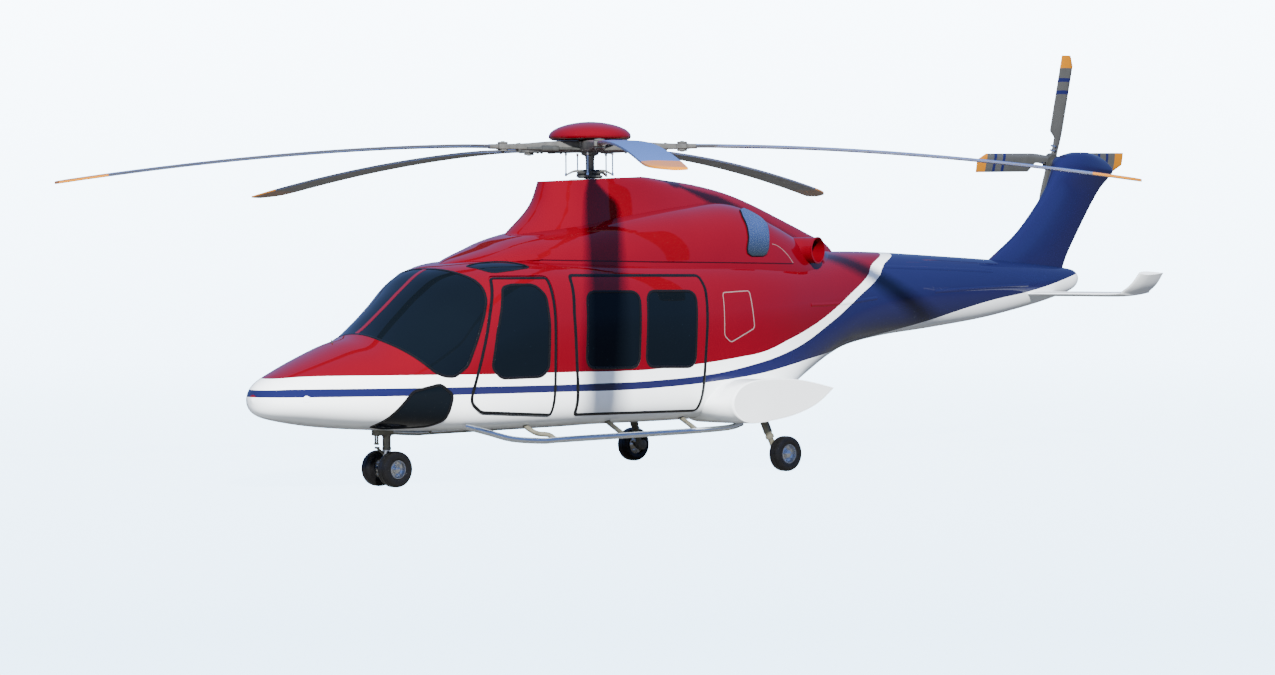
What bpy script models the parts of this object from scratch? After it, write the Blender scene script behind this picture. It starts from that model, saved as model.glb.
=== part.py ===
"""Twin-engine helicopter on wheels, modelled at full size in metres.

X runs forward, Y to port and Z up. Shapes are drawn about the rotor mast's axis, which stands at
MAST_X, MAST_Y in the part's frame, so that the origin is on the ground below the middle of the box.
"""

import math

import bmesh
import bpy
from mathutils import Matrix, Vector

# Driving dimensions, in metres
MAST_X = 1.8755
MAST_Y = 0.453
GAP = 0.0003
DOOR_GAP = 0.010
HINGE_GAP = 0.0006
WALL = 0.05
BOOM_WALL = 0.03
GLASS = 0.010
GLASS_INSET = 0.003

ROTOR_RADIUS = 6.2
ROTOR_Z = 3.72
ROTOR_DROOP = 0.44
DROOP_POWER = 1.75
ROTOR_PHASE = math.radians(55.5)
BLADE_COUNT = 5
BLADE_ROOT = 1.24
BLADE_FRONT = 0.075
BLADE_REAR = 0.315
NECK_FROM = 1.12
MAST_RADIUS = 0.10
LINK_RADIUS = 0.280
LINK_LEAD = math.radians(-11)
LINK_FOOT = 3.395
LINK_TOP = 3.664

TAIL_HUB = Vector((-8.345, -0.377, 3.708))
TAIL_RADIUS = 1.439
TAIL_CANT = math.radians(13.3)
TAIL_PHASE = math.radians(-1.3)
TAIL_AXIS = Vector((0, -math.cos(TAIL_CANT), math.sin(TAIL_CANT)))
TAIL_CHORD = 0.25
TAIL_BLADE_COUNT = 4
TAILPLANE_Z = 1.972

NOSE_AXLE = Vector((2.896, 0.0, 0.196))
NOSE_WHEEL_RADIUS = 0.196
NOSE_WHEEL_Y = 0.150
NOSE_WHEEL_WIDTH = 0.150
NOSE_RIM_RADIUS = 0.10
MAIN_AXLE = Vector((-1.785, 1.333, 0.203))
MAIN_WHEEL_RADIUS = 0.203
MAIN_WHEEL_WIDTH = 0.165
MAIN_RIM_RADIUS = 0.11
RIM_BORE = 0.0305
WHEEL_SIDES = 24

COCKPIT_HINGE = (2.541, 1.045, 0.980)
BAGGAGE_HINGE = (-1.350, 1.060, 2.079)

HULL_SIDES = 24
FLOOR_Z = 0.70
SEAT_Y = 0.44
SEAT_HALF = 0.22
BENCH_HALF = 0.66
SEAT_HEIGHT = 1.12
SEAT_TOP = 1.80
ENGINE_FRONT = -0.80
ENGINE_REAR = -2.10
ENGINE_Y = 0.36
ENGINE_HALF = 0.20
SPLIT_X = -1.00
BOOM_X = -3.40

# Hull stations: x, half width, bottom, height of the widest line, top, fullness above, fullness below
HULL = (
    (4.625, 0.015, 0.975, 0.990, 1.005, 2.0, 2.0),
    (4.585, 0.160, 0.870, 0.985, 1.110, 2.0, 2.0),
    (4.470, 0.320, 0.800, 0.980, 1.205, 2.1, 2.1),
    (4.250, 0.480, 0.748, 0.975, 1.300, 2.2, 2.2),
    (3.930, 0.640, 0.695, 0.985, 1.430, 2.2, 2.4),
    (3.600, 0.770, 0.658, 1.005, 1.558, 2.1, 2.7),
    (3.290, 0.860, 0.635, 1.045, 1.665, 2.0, 3.0),
    (2.980, 0.930, 0.617, 1.100, 1.895, 2.0, 3.4),
    (2.700, 0.985, 0.607, 1.150, 2.125, 2.15, 3.8),
    (2.420, 1.030, 0.600, 1.200, 2.325, 2.6, 4.2),
    (2.080, 1.065, 0.598, 1.250, 2.415, 3.2, 4.5),
    (1.600, 1.090, 0.595, 1.280, 2.455, 3.8, 4.5),
    (0.700, 1.100, 0.595, 1.300, 2.465, 4.2, 4.5),
    (-0.800, 1.100, 0.595, 1.300, 2.465, 4.2, 4.5),
    (-1.600, 1.065, 0.620, 1.350, 2.465, 4.2, 4.0),
    (-2.200, 0.990, 0.710, 1.450, 2.470, 3.8, 3.4),
    (-2.750, 0.870, 0.965, 1.600, 2.485, 3.3, 3.0),
    (-3.300, 0.740, 1.205, 1.750, 2.505, 2.9, 2.7),
    (-3.850, 0.620, 1.365, 1.880, 2.530, 2.6, 2.4),
    (-4.600, 0.510, 1.480, 1.980, 2.520, 2.4, 2.2),
    (-5.500, 0.430, 1.562, 2.030, 2.480, 2.3, 2.2),
    (-6.500, 0.350, 1.670, 2.070, 2.430, 2.2, 2.2),
    (-7.400, 0.270, 1.815, 2.120, 2.375, 2.1, 2.1),
    (-8.000, 0.180, 1.940, 2.150, 2.320, 2.0, 2.0),
    (-8.300, 0.110, 2.030, 2.165, 2.280, 2.0, 2.0),
    (-8.420, 0.020, 2.145, 2.165, 2.190, 2.0, 2.0),
)

# Engine cowling stations: x, half width, top. Its sections stand on the roof.
COWL = (
    (2.150, 0.120, 2.405),
    (1.950, 0.400, 2.475),
    (1.600, 0.610, 2.590),
    (1.200, 0.735, 2.720),
    (0.400, 0.830, 2.885),
    (-0.250, 0.860, 2.990),
    (-1.100, 0.875, 3.075),
    (-1.850, 0.860, 3.105),
    (-2.400, 0.800, 2.915),
    (-2.850, 0.700, 2.730),
    (-3.300, 0.520, 2.605),
    (-3.700, 0.250, 2.545),
)
COWL_FOOT = 2.20
COWL_FULLNESS = 2.7

# Mast fairing levels: z, front, rear, half width. Its upper levels follow the slope of its crest.
FAIRING = (
    (2.300, 1.550, -4.050, 0.580),
    (2.600, 1.310, -3.780, 0.530),
    (2.750, 1.165, -3.430, 0.490),
    (2.950, 0.930, -2.900, 0.430),
    (3.100, 0.815, -2.480, 0.385),
    (3.220, 0.765, -2.060, 0.355),
    (3.310, 0.735, -1.560, 0.335),
    (3.362, 0.722, -1.050, 0.320),
)
FAIRING_MIDDLE = 0.15
CREST_SLOPE = 0.052
CREST_TOP_X = -0.60
MAST_HOLE = 0.17

# Exhaust pipe, the scoop ahead of the cowling's shoulder and the metal plate behind it, on the port side
PIPE = ((-2.40, 0.28, 2.54), (-2.65, 0.44, 2.54), (-2.80, 0.61, 2.54), (-2.86, 0.79, 2.54))
PIPE_START = (-2.25, 0.184, 2.54)
PIPE_END = (-2.90, 0.95, 2.54)
PIPE_RADIUS = 0.155
PIPE_BORE = 0.140
PIPE_SIDES = 12
SCOOP = (
    ((1.655, 0.500, 2.466), (1.640, 0.552, 2.425), (1.640, 0.500, 2.370), (1.655, 0.430, 2.400)),
    ((1.341, 0.652, 2.530), (1.308, 0.716, 2.446), (1.308, 0.600, 2.380), (1.341, 0.540, 2.430)),
)
COWL_PLATE = (
    (-1.825, 0.541, 3.003), (-2.000, 0.440, 3.040), (-2.110, 0.520, 2.990), (-2.150, 0.580, 2.920),
    (-2.147, 0.646, 2.840), (-2.092, 0.730, 2.743), (-2.005, 0.821, 2.555), (-1.956, 0.837, 2.497),
    (-1.892, 0.845, 2.474), (-1.708, 0.854, 2.474), (-1.655, 0.852, 2.503), (-1.651, 0.843, 2.555),
    (-1.709, 0.804, 2.683), (-1.742, 0.736, 2.811), (-1.761, 0.640, 2.917),
)
PLATE_THICKNESS = 0.020

# Main leg's steps: share of its length, radius
LEG_STEPS = (
    (0.0, 0.0495), (0.60, 0.0495), (0.61, 0.042), (0.64, 0.042), (0.65, 0.0495), (0.70, 0.0495),
    (0.71, 0.034), (1.0, 0.034),
)

# Outlines in side view: x, z
WINDSCREEN = (
    (3.315, 1.720), (3.295, 1.640), (3.262, 1.585), (2.929, 1.258), (2.830, 1.215), (2.710, 1.208),
    (2.557, 1.319), (2.421, 1.603), (2.320, 1.820), (2.235, 2.020), (2.222, 2.150), (2.250, 2.235),
    (2.310, 2.297), (2.355, 2.345), (2.370, 2.440), (2.900, 2.180),
)
CHIN_WINDOW = (
    (3.505, 0.690), (3.190, 1.065), (2.878, 1.134), (2.736, 1.019), (2.779, 0.739), (2.889, 0.672),
    (3.282, 0.655),
)
COCKPIT_DOOR = (
    (2.095, 2.273), (1.413, 2.272), (1.390, 2.200), (1.386, 1.856), (1.399, 1.195), (1.411, 0.759),
    (1.439, 0.730), (2.386, 0.791), (2.515, 0.892), (2.536, 0.980), (2.432, 1.316), (2.260, 1.869),
)
COCKPIT_WINDOW = (
    (2.014, 2.148), (1.897, 2.177), (1.615, 2.174), (1.507, 2.064), (1.492, 1.747), (1.513, 1.267),
    (1.617, 1.179), (2.144, 1.175), (2.262, 1.286), (2.182, 1.667),
)
CABIN_DOOR = (
    (1.103, 2.270), (-0.780, 2.256), (-0.820, 2.116), (-0.800, 1.684), (-0.742, 1.034), (-0.712, 0.726),
    (1.099, 0.747), (1.126, 1.300), (1.149, 1.864),
)
FRONT_CABIN_WINDOW = ((0.945, 2.092), (0.182, 2.085), (0.228, 1.238), (0.992, 1.256))
REAR_CABIN_WINDOW = ((0.072, 2.090), (-0.662, 2.082), (-0.610, 1.226), (0.128, 1.246))
BAGGAGE_DOOR = ((-1.080, 2.059), (-1.515, 2.075), (-1.564, 1.646), (-1.170, 1.490), (-1.068, 1.568))
ROOF_WINDOW = (
    (2.170, 0.440), (1.950, 0.440), (1.700, 0.520), (1.500, 0.790), (1.780, 0.795), (2.030, 0.750),
)

# Fin levels: height, front, rear, half thickness. Its section: share of the chord, share of the thickness
FIN_LEVELS = (
    (2.10, -6.20, -8.05, 0.085), (2.44, -6.74, -8.20, 0.100), (2.75, -7.22, -8.41, 0.100),
    (3.10, -7.60, -8.67, 0.100), (3.35, -7.82, -8.88, 0.110), (3.50, -7.91, -9.06, 0.140),
    (3.60, -7.97, -9.15, 0.165), (3.70, -8.01, -9.04, 0.168), (3.78, -8.13, -8.86, 0.145),
    (3.83, -8.34, -8.66, 0.085),
)
FIN_SIDE = ((0, 0), (0.05, 0.55), (0.30, 1.0), (0.65, 0.8), (0.95, 0.25), (1.0, 0))

# Tail blade stations: radius, leading share, trailing share, thickness, as far as half the chord goes
TAIL_BLADE = (
    (0.06, 0.70, 0.15, 0.030), (0.32, 0.95, 0.05, 0.022), (0.43, 1.0, 1.0, 0.018), (1.30, 1.0, 1.0, 0.012),
    (TAIL_RADIUS, 0.40, 1.0, 0.009),
)
TAIL_BLADE_SECTION = ((1.0, 0.0), (0.6, 1.0), (-0.4, 0.8), (-1.0, 0.1), (-0.4, -0.8), (0.6, -1.0))

# Tailplane stations: y, lift, chord. Its section: share of the chord, share of the thickness
TAILPLANE = (
    (0.10, 0.0, 0.636), (1.62, 0.0, 0.575), (1.75, 0.04, 0.545), (1.88, 0.13, 0.515), (2.00, 0.265, 0.480),
)
TAILPLANE_SECTION = (
    (0, 0), (0.08, 0.6), (0.35, 1.0), (0.75, 0.5), (1.0, 0.1), (0.75, -0.5), (0.35, -1.0), (0.08, -0.6),
)
TAILPLANE_FRONT = -7.11
TAILPLANE_SWEEP = 0.083
TAILPLANE_HALF = 0.032
SPONSON_TIP = (
    (-0.880, 0.796), (-0.925, 0.919), (-1.055, 1.016), (-1.335, 1.069), (-1.935, 1.051), (-2.494, 0.941),
    (-2.222, 0.766), (-1.852, 0.647), (-1.393, 0.584), (-1.113, 0.584), (-0.944, 0.670),
)
SPONSON_LEVELS = (
    (0.60, 1.0, 1.0), (1.05, 0.9, 1.0), (1.25, 0.45, 1.0), (1.36, 0.10, 1.0), (1.41, 0.0, 1.0),
    (1.425, 0.0, 0.985),
)
SPONSON_MIDDLE = (-1.75, 0.86)
SPONSON_ROOT = (
    (-0.790, 0.790), (-0.860, 0.900), (-1.020, 1.005), (-1.330, 1.075), (-1.960, 1.058), (-2.580, 0.950),
    (-2.290, 0.770), (-1.880, 0.645), (-1.380, 0.575), (-1.070, 0.575), (-0.870, 0.665),
)

# Step rail and its struts on the port side
RAIL = (
    (2.50, 0.88, 0.67), (2.30, 1.02, 0.60), (2.05, 1.12, 0.525), (1.66, 1.14, 0.490), (-0.49, 1.14, 0.508),
    (-1.07, 1.14, 0.524), (-1.28, 1.14, 0.565),
)
RAIL_TUBE = 0.033
RAIL_STRUT = 0.027
RAIL_STRUTS = (
    (
        (1.465, 1.14, 0.492), (1.500, 1.06, 0.545), (1.580, 0.96, 0.560), (1.630, 0.86, 0.615),
        (1.640, 0.80, 0.66),
    ),
    ((0.485, 1.14, 0.500), (0.475, 0.80, 0.66)),
    ((-0.600, 1.14, 0.509), (-0.620, 0.80, 0.66)),
)


def clear_scene():
    """Remove every object of the scene that the script starts in."""
    for obj in list(bpy.data.objects):
        bpy.data.objects.remove(obj, do_unlink=True)


def finish(name, color, roughness=0.4, metallic=0.0, alpha=1.0):
    """Principled material, made once for each name."""
    material = bpy.data.materials.get(name)
    if material is None:
        material = bpy.data.materials.new(name)
        material.use_nodes = True
        shader = material.node_tree.nodes["Principled BSDF"]
        shader.inputs["Base Color"].default_value = (*color, 1.0)
        shader.inputs["Roughness"].default_value = roughness
        shader.inputs["Metallic"].default_value = metallic
        shader.inputs["Alpha"].default_value = alpha
    return material


def paint():
    return finish("red paint", (0.50, 0.01, 0.02), 0.15)


def blue():
    return finish("blue paint", (0.02, 0.03, 0.20), 0.15)


def white():
    return finish("white paint", (0.85, 0.86, 0.88), 0.2)


def tinted_glass():
    return finish("tinted glass", (0.01, 0.02, 0.04), 0.03, 0.0, 0.8)


def blade_grey():
    return finish("blade grey", (0.18, 0.18, 0.17), 0.35)


def hub_grey():
    return finish("hub grey", (0.25, 0.26, 0.26), 0.4, 0.6)


def steel():
    return finish("steel", (0.55, 0.56, 0.58), 0.3, 1.0)


def tyre_black():
    return finish("tyre black", (0.015, 0.015, 0.016), 0.7)


def trim_grey():
    return finish("trim grey", (0.05, 0.05, 0.055), 0.6)


def smooth_value(rows, index, column):
    """Value of one column at a fractional row index, on a Catmull-Rom curve through the rows."""
    low = min(int(index), len(rows) - 2)
    part = index - low
    p1 = rows[low][column]
    p2 = rows[low + 1][column]
    p0 = rows[max(low - 1, 0)][column]
    p3 = rows[min(low + 2, len(rows) - 1)][column]
    slope_1 = (p2 - p0) / 2
    slope_2 = (p3 - p1) / 2
    blend_1 = part * part * (3 - 2 * part)
    return (
        p1 * (1 - blend_1)
        + p2 * blend_1
        + slope_1 * part * (1 - part) ** 2
        - slope_2 * part * part * (1 - part)
    )


def superellipse(half, low, middle, high, above, below, sides):
    """Ring of (y, z) round a section whose fullness differs above and below its widest line."""
    ring = []
    for step in range(sides):
        angle = 2 * math.pi * (step + 0.5) / sides
        across = math.cos(angle)
        up = math.sin(angle)
        power = above if up > 0 else below
        reach = high - middle if up > 0 else middle - low
        y = half * math.copysign(abs(across) ** (2 / power), across)
        z = middle + reach * math.copysign(abs(up) ** (2 / power), up)
        ring.append((y, z))
    return ring


def index_at(rows, x):
    """Fractional row index at which the first column of the rows passes x, falling along the rows."""
    low, high = 0.0, float(len(rows) - 1)
    for _ in range(40):
        middle = (low + high) / 2
        if smooth_value(rows, middle, 0) > x:
            low = middle
        else:
            high = middle
    return (low + high) / 2


def hull_ring(index, inset, sides, floor=None):
    """Section of the hull at a fractional station, drawn in by inset, and flat at a floor if given."""
    x, half, low, middle, high, above, below = (smooth_value(HULL, index, c) for c in range(7))
    half = max(half - inset, 0.002)
    low = min(low + inset, middle - 0.002)
    high = max(high - inset, middle + 0.002)
    ring = superellipse(half, low, middle, high, above, below, sides)
    if floor is not None:
        ring = [(y, max(z, floor)) for y, z in ring]
    return [(x, y, z) for y, z in ring]


def mesh_object(name, bm, material):
    """Object from a bmesh, with its faces turned outwards."""
    bmesh.ops.recalc_face_normals(bm, faces=bm.faces)
    mesh = bpy.data.meshes.new(name)
    bm.to_mesh(mesh)
    bm.free()
    mesh.materials.append(material)
    obj = bpy.data.objects.new(name, mesh)
    bpy.context.scene.collection.objects.link(obj)
    return obj


def loft(name, rings, material):
    """Closed solid through rings of equal length, with a flat cap at each end.

    Each four-sided patch is cut along the diagonal that its twin across the middle plane has too.
    """
    bm = bmesh.new()
    rows = [[bm.verts.new(point) for point in ring] for ring in rings]
    for row, following in zip(rows, rows[1:]):
        for step in range(len(row)):
            after = (step + 1) % len(row)
            corners = (row[step], row[after], following[after], following[step])
            if sum(corner.co.y for corner in corners) > 0:
                corners = corners[1:] + corners[:1]
            bm.faces.new((corners[0], corners[1], corners[2]))
            bm.faces.new((corners[0], corners[2], corners[3]))
    bm.faces.new(rows[0])
    bm.faces.new(rows[-1])
    return mesh_object(name, bm, material)


def hull_loft(name, front_x, rear_x, inset, material, floor=None):
    """Part of the hull's form between two places, as a solid with sections at every station and joint."""
    first = index_at(HULL, front_x) if front_x < HULL[0][0] else 0.0
    last = index_at(HULL, rear_x) if rear_x > HULL[-1][0] else len(HULL) - 1.0
    joints = [index_at(HULL, SPLIT_X), index_at(HULL, BOOM_X)]
    inside = [index for index in [*range(len(HULL)), *joints] if first + 0.001 < index < last - 0.001]
    rings = [hull_ring(index, inset, HULL_SIDES, floor) for index in sorted([first, last, *inside])]
    return loft(name, rings, material)


def hull_cutter():
    """The whole hull's form, with the gap that a piece set against it keeps."""
    return hull_loft("hull form", HULL[0][0], HULL[-1][0], -GAP, white())


def prism(name, outline, low, high, axis="Y"):
    """Solid of an outline drawn in side view (x, z), or in plan (x, y) when its axis is Z."""
    bm = bmesh.new()
    if axis == "Y":
        base = [bm.verts.new((a, low, b)) for a, b in outline]
        offset = Vector((0, high - low, 0))
    else:
        base = [bm.verts.new((a, b, low)) for a, b in outline]
        offset = Vector((0, 0, high - low))
    face = bm.faces.new(base)
    grown = bmesh.ops.extrude_face_region(bm, geom=[face])
    moved = [item for item in grown["geom"] if isinstance(item, bmesh.types.BMVert)]
    bmesh.ops.translate(bm, verts=moved, vec=offset)
    return mesh_object(name, bm, trim_grey())


def rounded(outline, radius=0.05, steps=3):
    """Outline with each corner cut back along its two sides and turned through a short curve."""
    points = []
    count = len(outline)
    for index, corner in enumerate(outline):
        here = Vector(corner)
        back = Vector(outline[index - 1]) - here
        ahead = Vector(outline[(index + 1) % count]) - here
        cut_back = min(radius, back.length * 0.4)
        cut_ahead = min(radius, ahead.length * 0.4)
        start = here + back.normalized() * cut_back
        end = here + ahead.normalized() * cut_ahead
        for step in range(steps + 1):
            t = step / steps
            points.append(start * (1 - t) ** 2 + here * 2 * t * (1 - t) + end * t * t)
    return [(point.x, point.y) for point in points]


def grown_outline(outline, amount):
    """Outline moved outwards by an amount, or inwards by a negative one."""
    count = len(outline)
    area = sum(
        outline[i - 1][0] * outline[i][1] - outline[i][0] * outline[i - 1][1] for i in range(count)
    )
    turn = 1 if area > 0 else -1
    points = []
    for index in range(count):
        here = Vector(outline[index])
        before = (here - Vector(outline[index - 1])).normalized()
        after = (Vector(outline[(index + 1) % count]) - here).normalized()
        normal = Vector((before.y + after.y, -before.x - after.x)).normalized() * turn
        share = max(0.5, normal.dot(Vector((before.y, -before.x)) * turn))
        points.append(here + normal * amount / share)
    return [(point.x, point.y) for point in points]


def combine(target, others, operation, keep=False):
    """Boolean of the target with each other solid in turn, applied to its mesh."""
    for other in others:
        modifier = target.modifiers.new("cut", "BOOLEAN")
        modifier.operation = operation
        modifier.solver = "EXACT"
        modifier.object = other
    graph = bpy.context.evaluated_depsgraph_get()
    mesh = bpy.data.meshes.new_from_object(target.evaluated_get(graph))
    target.modifiers.clear()
    target.data = mesh
    if not keep:
        for other in others:
            bpy.data.objects.remove(other, do_unlink=True)
    return target


def copy_of(obj, name, material=None):
    twin = obj.copy()
    twin.data = obj.data.copy()
    twin.name = name
    if material:
        twin.data.materials.clear()
        twin.data.materials.append(material)
    bpy.context.scene.collection.objects.link(twin)
    return twin


def mirrored(obj, name):
    """Copy of a port piece, turned over to starboard."""
    twin = copy_of(obj, name)
    bm = bmesh.new()
    bm.from_mesh(twin.data)
    bmesh.ops.scale(bm, vec=(1, -1, 1), verts=bm.verts)
    bmesh.ops.reverse_faces(bm, faces=bm.faces)
    bm.to_mesh(twin.data)
    bm.free()
    return twin


def set_origin(obj, point):
    """Put an object's origin on its joint without moving its surface."""
    point = Vector(point)
    obj.data.transform(Matrix.Translation(-point))
    obj.location = obj.location + point
    return obj


def grow_about(obj, centre, factor):
    """Scale a solid's mesh about a point."""
    shift = Matrix.Translation(centre)
    obj.data.transform(shift @ Matrix.Scale(factor, 4) @ shift.inverted())


def both_sides(obj):
    """The port piece and its starboard twin."""
    name = obj.name
    twin = mirrored(obj, name.replace("_left", "_right"))
    return obj, twin


def tube(name, path, radius, material, sides=8):
    """Round bar along a path, with flat ends square to it."""
    rings = []
    count = len(path)
    points = [Vector(point) for point in path]
    side = None
    for index, point in enumerate(points):
        ahead = points[min(index + 1, count - 1)] - points[max(index - 1, 0)]
        ahead.normalize()
        if side is None:
            side = ahead.cross(Vector((0, 0, 1)))
            if side.length < 0.1:
                side = ahead.cross(Vector((0, 1, 0)))
        side = (side - ahead * side.dot(ahead)).normalized()
        up = side.cross(ahead)
        ring = []
        for step in range(sides):
            angle = 2 * math.pi * step / sides
            ring.append(point + (side * math.cos(angle) + up * math.sin(angle)) * radius)
        rings.append(ring)
    return loft(name, rings, material)


def turned(name, profile, axis_point, axis, material, sides=24):
    """Solid of revolution: profile of (distance along the axis, radius), closed by flat ends."""
    axis = Vector(axis).normalized()
    side = axis.cross(Vector((0, 0, 1)))
    if side.length < 0.1:
        side = axis.cross(Vector((1, 0, 0)))
    side.normalize()
    up = axis.cross(side)
    centre = Vector(axis_point)
    rings = []
    for along, radius in profile:
        ring = []
        for step in range(sides):
            angle = 2 * math.pi * step / sides
            ring.append(centre + axis * along + (side * math.cos(angle) + up * math.sin(angle)) * radius)
        rings.append(ring)
    return loft(name, rings, material)


def washer(name, profile, axis_point, axis, material, sides=24):
    """Ring of revolution: a closed profile of (distance along the axis, radius) that stays off the axis."""
    axis = Vector(axis).normalized()
    side = axis.cross(Vector((0, 0, 1)))
    if side.length < 0.1:
        side = axis.cross(Vector((1, 0, 0)))
    side.normalize()
    up = axis.cross(side)
    centre = Vector(axis_point)
    bm = bmesh.new()
    rows = []
    for step in range(sides):
        angle = 2 * math.pi * step / sides
        out = side * math.cos(angle) + up * math.sin(angle)
        rows.append([bm.verts.new(centre + axis * a + out * r) for a, r in profile])
    for step in range(sides):
        row = rows[step]
        following = rows[(step + 1) % sides]
        for index in range(len(profile)):
            after = (index + 1) % len(profile)
            bm.faces.new((row[index], row[after], following[after], following[index]))
    return mesh_object(name, bm, material)


def box(name, low, high, material):
    """Block between two corners."""
    bm = bmesh.new()
    bmesh.ops.create_cube(bm, size=1.0)
    low = Vector(low)
    high = Vector(high)
    size = high - low
    bmesh.ops.scale(bm, vec=size, verts=bm.verts)
    bmesh.ops.translate(bm, vec=(low + high) / 2, verts=bm.verts)
    return mesh_object(name, bm, material)


def side_prism(outline, grow=0.0, radius=0.05, inner=0.30):
    """Cutter through the port wall for an outline in side view."""
    shape = rounded(outline, radius)
    if grow:
        shape = grown_outline(shape, grow)
    return prism("cutter", shape, inner, 1.6)


def door_cutter(outline, radius, hinge, inner):
    """Form of a hinged door: its gap is DOOR_GAP all round, and HINGE_GAP on the side of its hinge.

    The hinge is "front" or "top": the half of the outline on that side moves out to its frame.
    """
    shape = grown_outline(rounded(outline, radius), -DOOR_GAP)
    shift = DOOR_GAP - HINGE_GAP
    if hinge == "front":
        middle = (min(x for x, _ in shape) + max(x for x, _ in shape)) / 2
        shape = [(x + shift, z) if x > middle else (x, z) for x, z in shape]
    else:
        middle = (min(z for _, z in shape) + max(z for _, z in shape)) / 2
        shape = [(x, z + shift) if z > middle else (x, z) for x, z in shape]
    return prism("cutter", shape, inner, 1.6)


def make_cabin():
    """Hollow cabin with its doors, windows and glass cut from one curved wall."""
    outer = hull_loft("hull form", HULL[0][0], SPLIT_X, 0.0, paint())
    space = hull_loft("cabin space", 3.70, SPLIT_X + WALL, WALL, trim_grey(), floor=FLOOR_Z)
    wall = copy_of(outer, "wall")
    combine(wall, [space], "DIFFERENCE", keep=True)

    glass_outer = hull_loft("glass form", HULL[0][0], SPLIT_X, GLASS_INSET, tinted_glass())
    glass_inner = hull_loft("glass back", HULL[0][0], SPLIT_X, GLASS_INSET + GLASS, tinted_glass())
    combine(glass_outer, [glass_inner], "DIFFERENCE")

    def panel(name, outline, grow, radius, source, material, inner=0.30):
        piece = copy_of(source, name, material)
        return combine(piece, [side_prism(outline, grow, radius, inner)], "INTERSECT")

    cockpit_door = copy_of(wall, "cockpit_door_left", paint())
    combine(cockpit_door, [door_cutter(COCKPIT_DOOR, 0.06, "front", 0.30)], "INTERSECT")
    combine(cockpit_door, [side_prism(COCKPIT_WINDOW, 0, 0.06)], "DIFFERENCE")
    cabin_door = panel("cabin_door_left", CABIN_DOOR, -GAP, 0.05, wall, paint())
    combine(
        cabin_door,
        [side_prism(FRONT_CABIN_WINDOW, 0, 0.13), side_prism(REAR_CABIN_WINDOW, 0, 0.13)],
        "DIFFERENCE",
    )
    panes = [
        panel("windscreen_left", WINDSCREEN, -GAP, 0.05, glass_outer, tinted_glass(), 0.03 + GAP),
        panel("chin_window_left", CHIN_WINDOW, -GAP, 0.05, glass_outer, tinted_glass()),
        panel("cockpit_glass_left", COCKPIT_WINDOW, -GAP, 0.06, glass_outer, tinted_glass()),
        panel("front_cabin_glass_left", FRONT_CABIN_WINDOW, -GAP, 0.13, glass_outer, tinted_glass()),
        panel("rear_cabin_glass_left", REAR_CABIN_WINDOW, -GAP, 0.13, glass_outer, tinted_glass()),
    ]
    lens = rounded(ROOF_WINDOW, 0.1)
    roof_hole = prism("cutter", lens, 2.0, 2.7, "Z")
    roof_pane = copy_of(glass_outer, "roof_window_left", tinted_glass())
    combine(roof_pane, [prism("cutter", grown_outline(lens, -GAP), 2.0, 2.7, "Z")], "INTERSECT")
    panes.append(roof_pane)

    port_cuts = [
        side_prism(WINDSCREEN, 0, 0.05, 0.03),
        side_prism(CHIN_WINDOW, 0, 0.05),
        side_prism(COCKPIT_DOOR, 0, 0.06),
        side_prism(CABIN_DOOR, 0, 0.05),
        roof_hole,
    ]
    starboard_cuts = [mirrored(cut, "cutter") for cut in port_cuts]
    shell = copy_of(wall, "cabin_shell", paint())
    combine(shell, port_cuts + starboard_cuts, "DIFFERENCE")
    for obj in (outer, space, wall, glass_outer):
        bpy.data.objects.remove(obj, do_unlink=True)
    for obj in (cockpit_door, cabin_door, *panes):
        both_sides(obj)


def make_rear_fuselage():
    """Baggage bay behind the cabin, with a top-hinged door on each side, and the tail boom."""
    outer = hull_loft("rear_fuselage", SPLIT_X - GAP, BOOM_X, 0.0, paint())
    bay = hull_loft("bay", SPLIT_X - GAP - WALL, BOOM_X - 0.2, WALL, trim_grey(), floor=FLOOR_Z)
    combine(outer, [bay], "DIFFERENCE")
    door = copy_of(outer, "baggage_door_left", paint())
    combine(door, [door_cutter(BAGGAGE_DOOR, 0.04, "top", 0.7)], "INTERSECT")
    both_sides(door)
    port = side_prism(BAGGAGE_DOOR, 0, 0.04, 0.7)
    combine(outer, [port, mirrored(port, "cutter")], "DIFFERENCE")
    boom = hull_loft("tail_boom", BOOM_X - GAP, HULL[-1][0], 0.0, blue())
    combine(boom, [hull_loft("inside", BOOM_X + 0.1, -7.20, BOOM_WALL, trim_grey())], "DIFFERENCE")


def crest_rise(x):
    """Height of the mast fairing's crest above its value at the mast, climbing towards the rear."""
    return CREST_SLOPE * min(-x, -CREST_TOP_X) - CREST_SLOPE * min(max(CREST_TOP_X - x, 0.0), 0.45)


def cowl_shoulders(inset):
    """Wide lower part of the cowling, drawn in by inset."""
    rings = []
    for x, half, top in COWL:
        ring = superellipse(
            max(half - inset, 0.05), COWL_FOOT, COWL_FOOT + 0.02, top - inset, COWL_FULLNESS, 2.0, 28
        )
        rings.append([(x, y, z) for y, z in ring])
    return loft("shoulders", rings, paint())


def mast_fairing(inset):
    """Narrow upper part of the cowling round the mast, drawn in by inset."""
    rings = []
    for z, front, rear, half in FAIRING:
        share = max(0.0, (z - FAIRING[3][0]) / (FAIRING[-1][0] - FAIRING[3][0]))
        ring = []
        for step in range(20):
            angle = 2 * math.pi * step / 20
            along = math.cos(angle)
            reach = front - FAIRING_MIDDLE if along > 0 else FAIRING_MIDDLE - rear
            taper = 1.0 if along > 0 else 1 - 0.45 * along * along
            x = FAIRING_MIDDLE + (reach - inset) * along
            y = (half - inset) * math.sin(angle) * taper
            ring.append((x, y, z - inset + share * crest_rise(x)))
        rings.append(ring)
    return loft("fairing", rings, paint())


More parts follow.
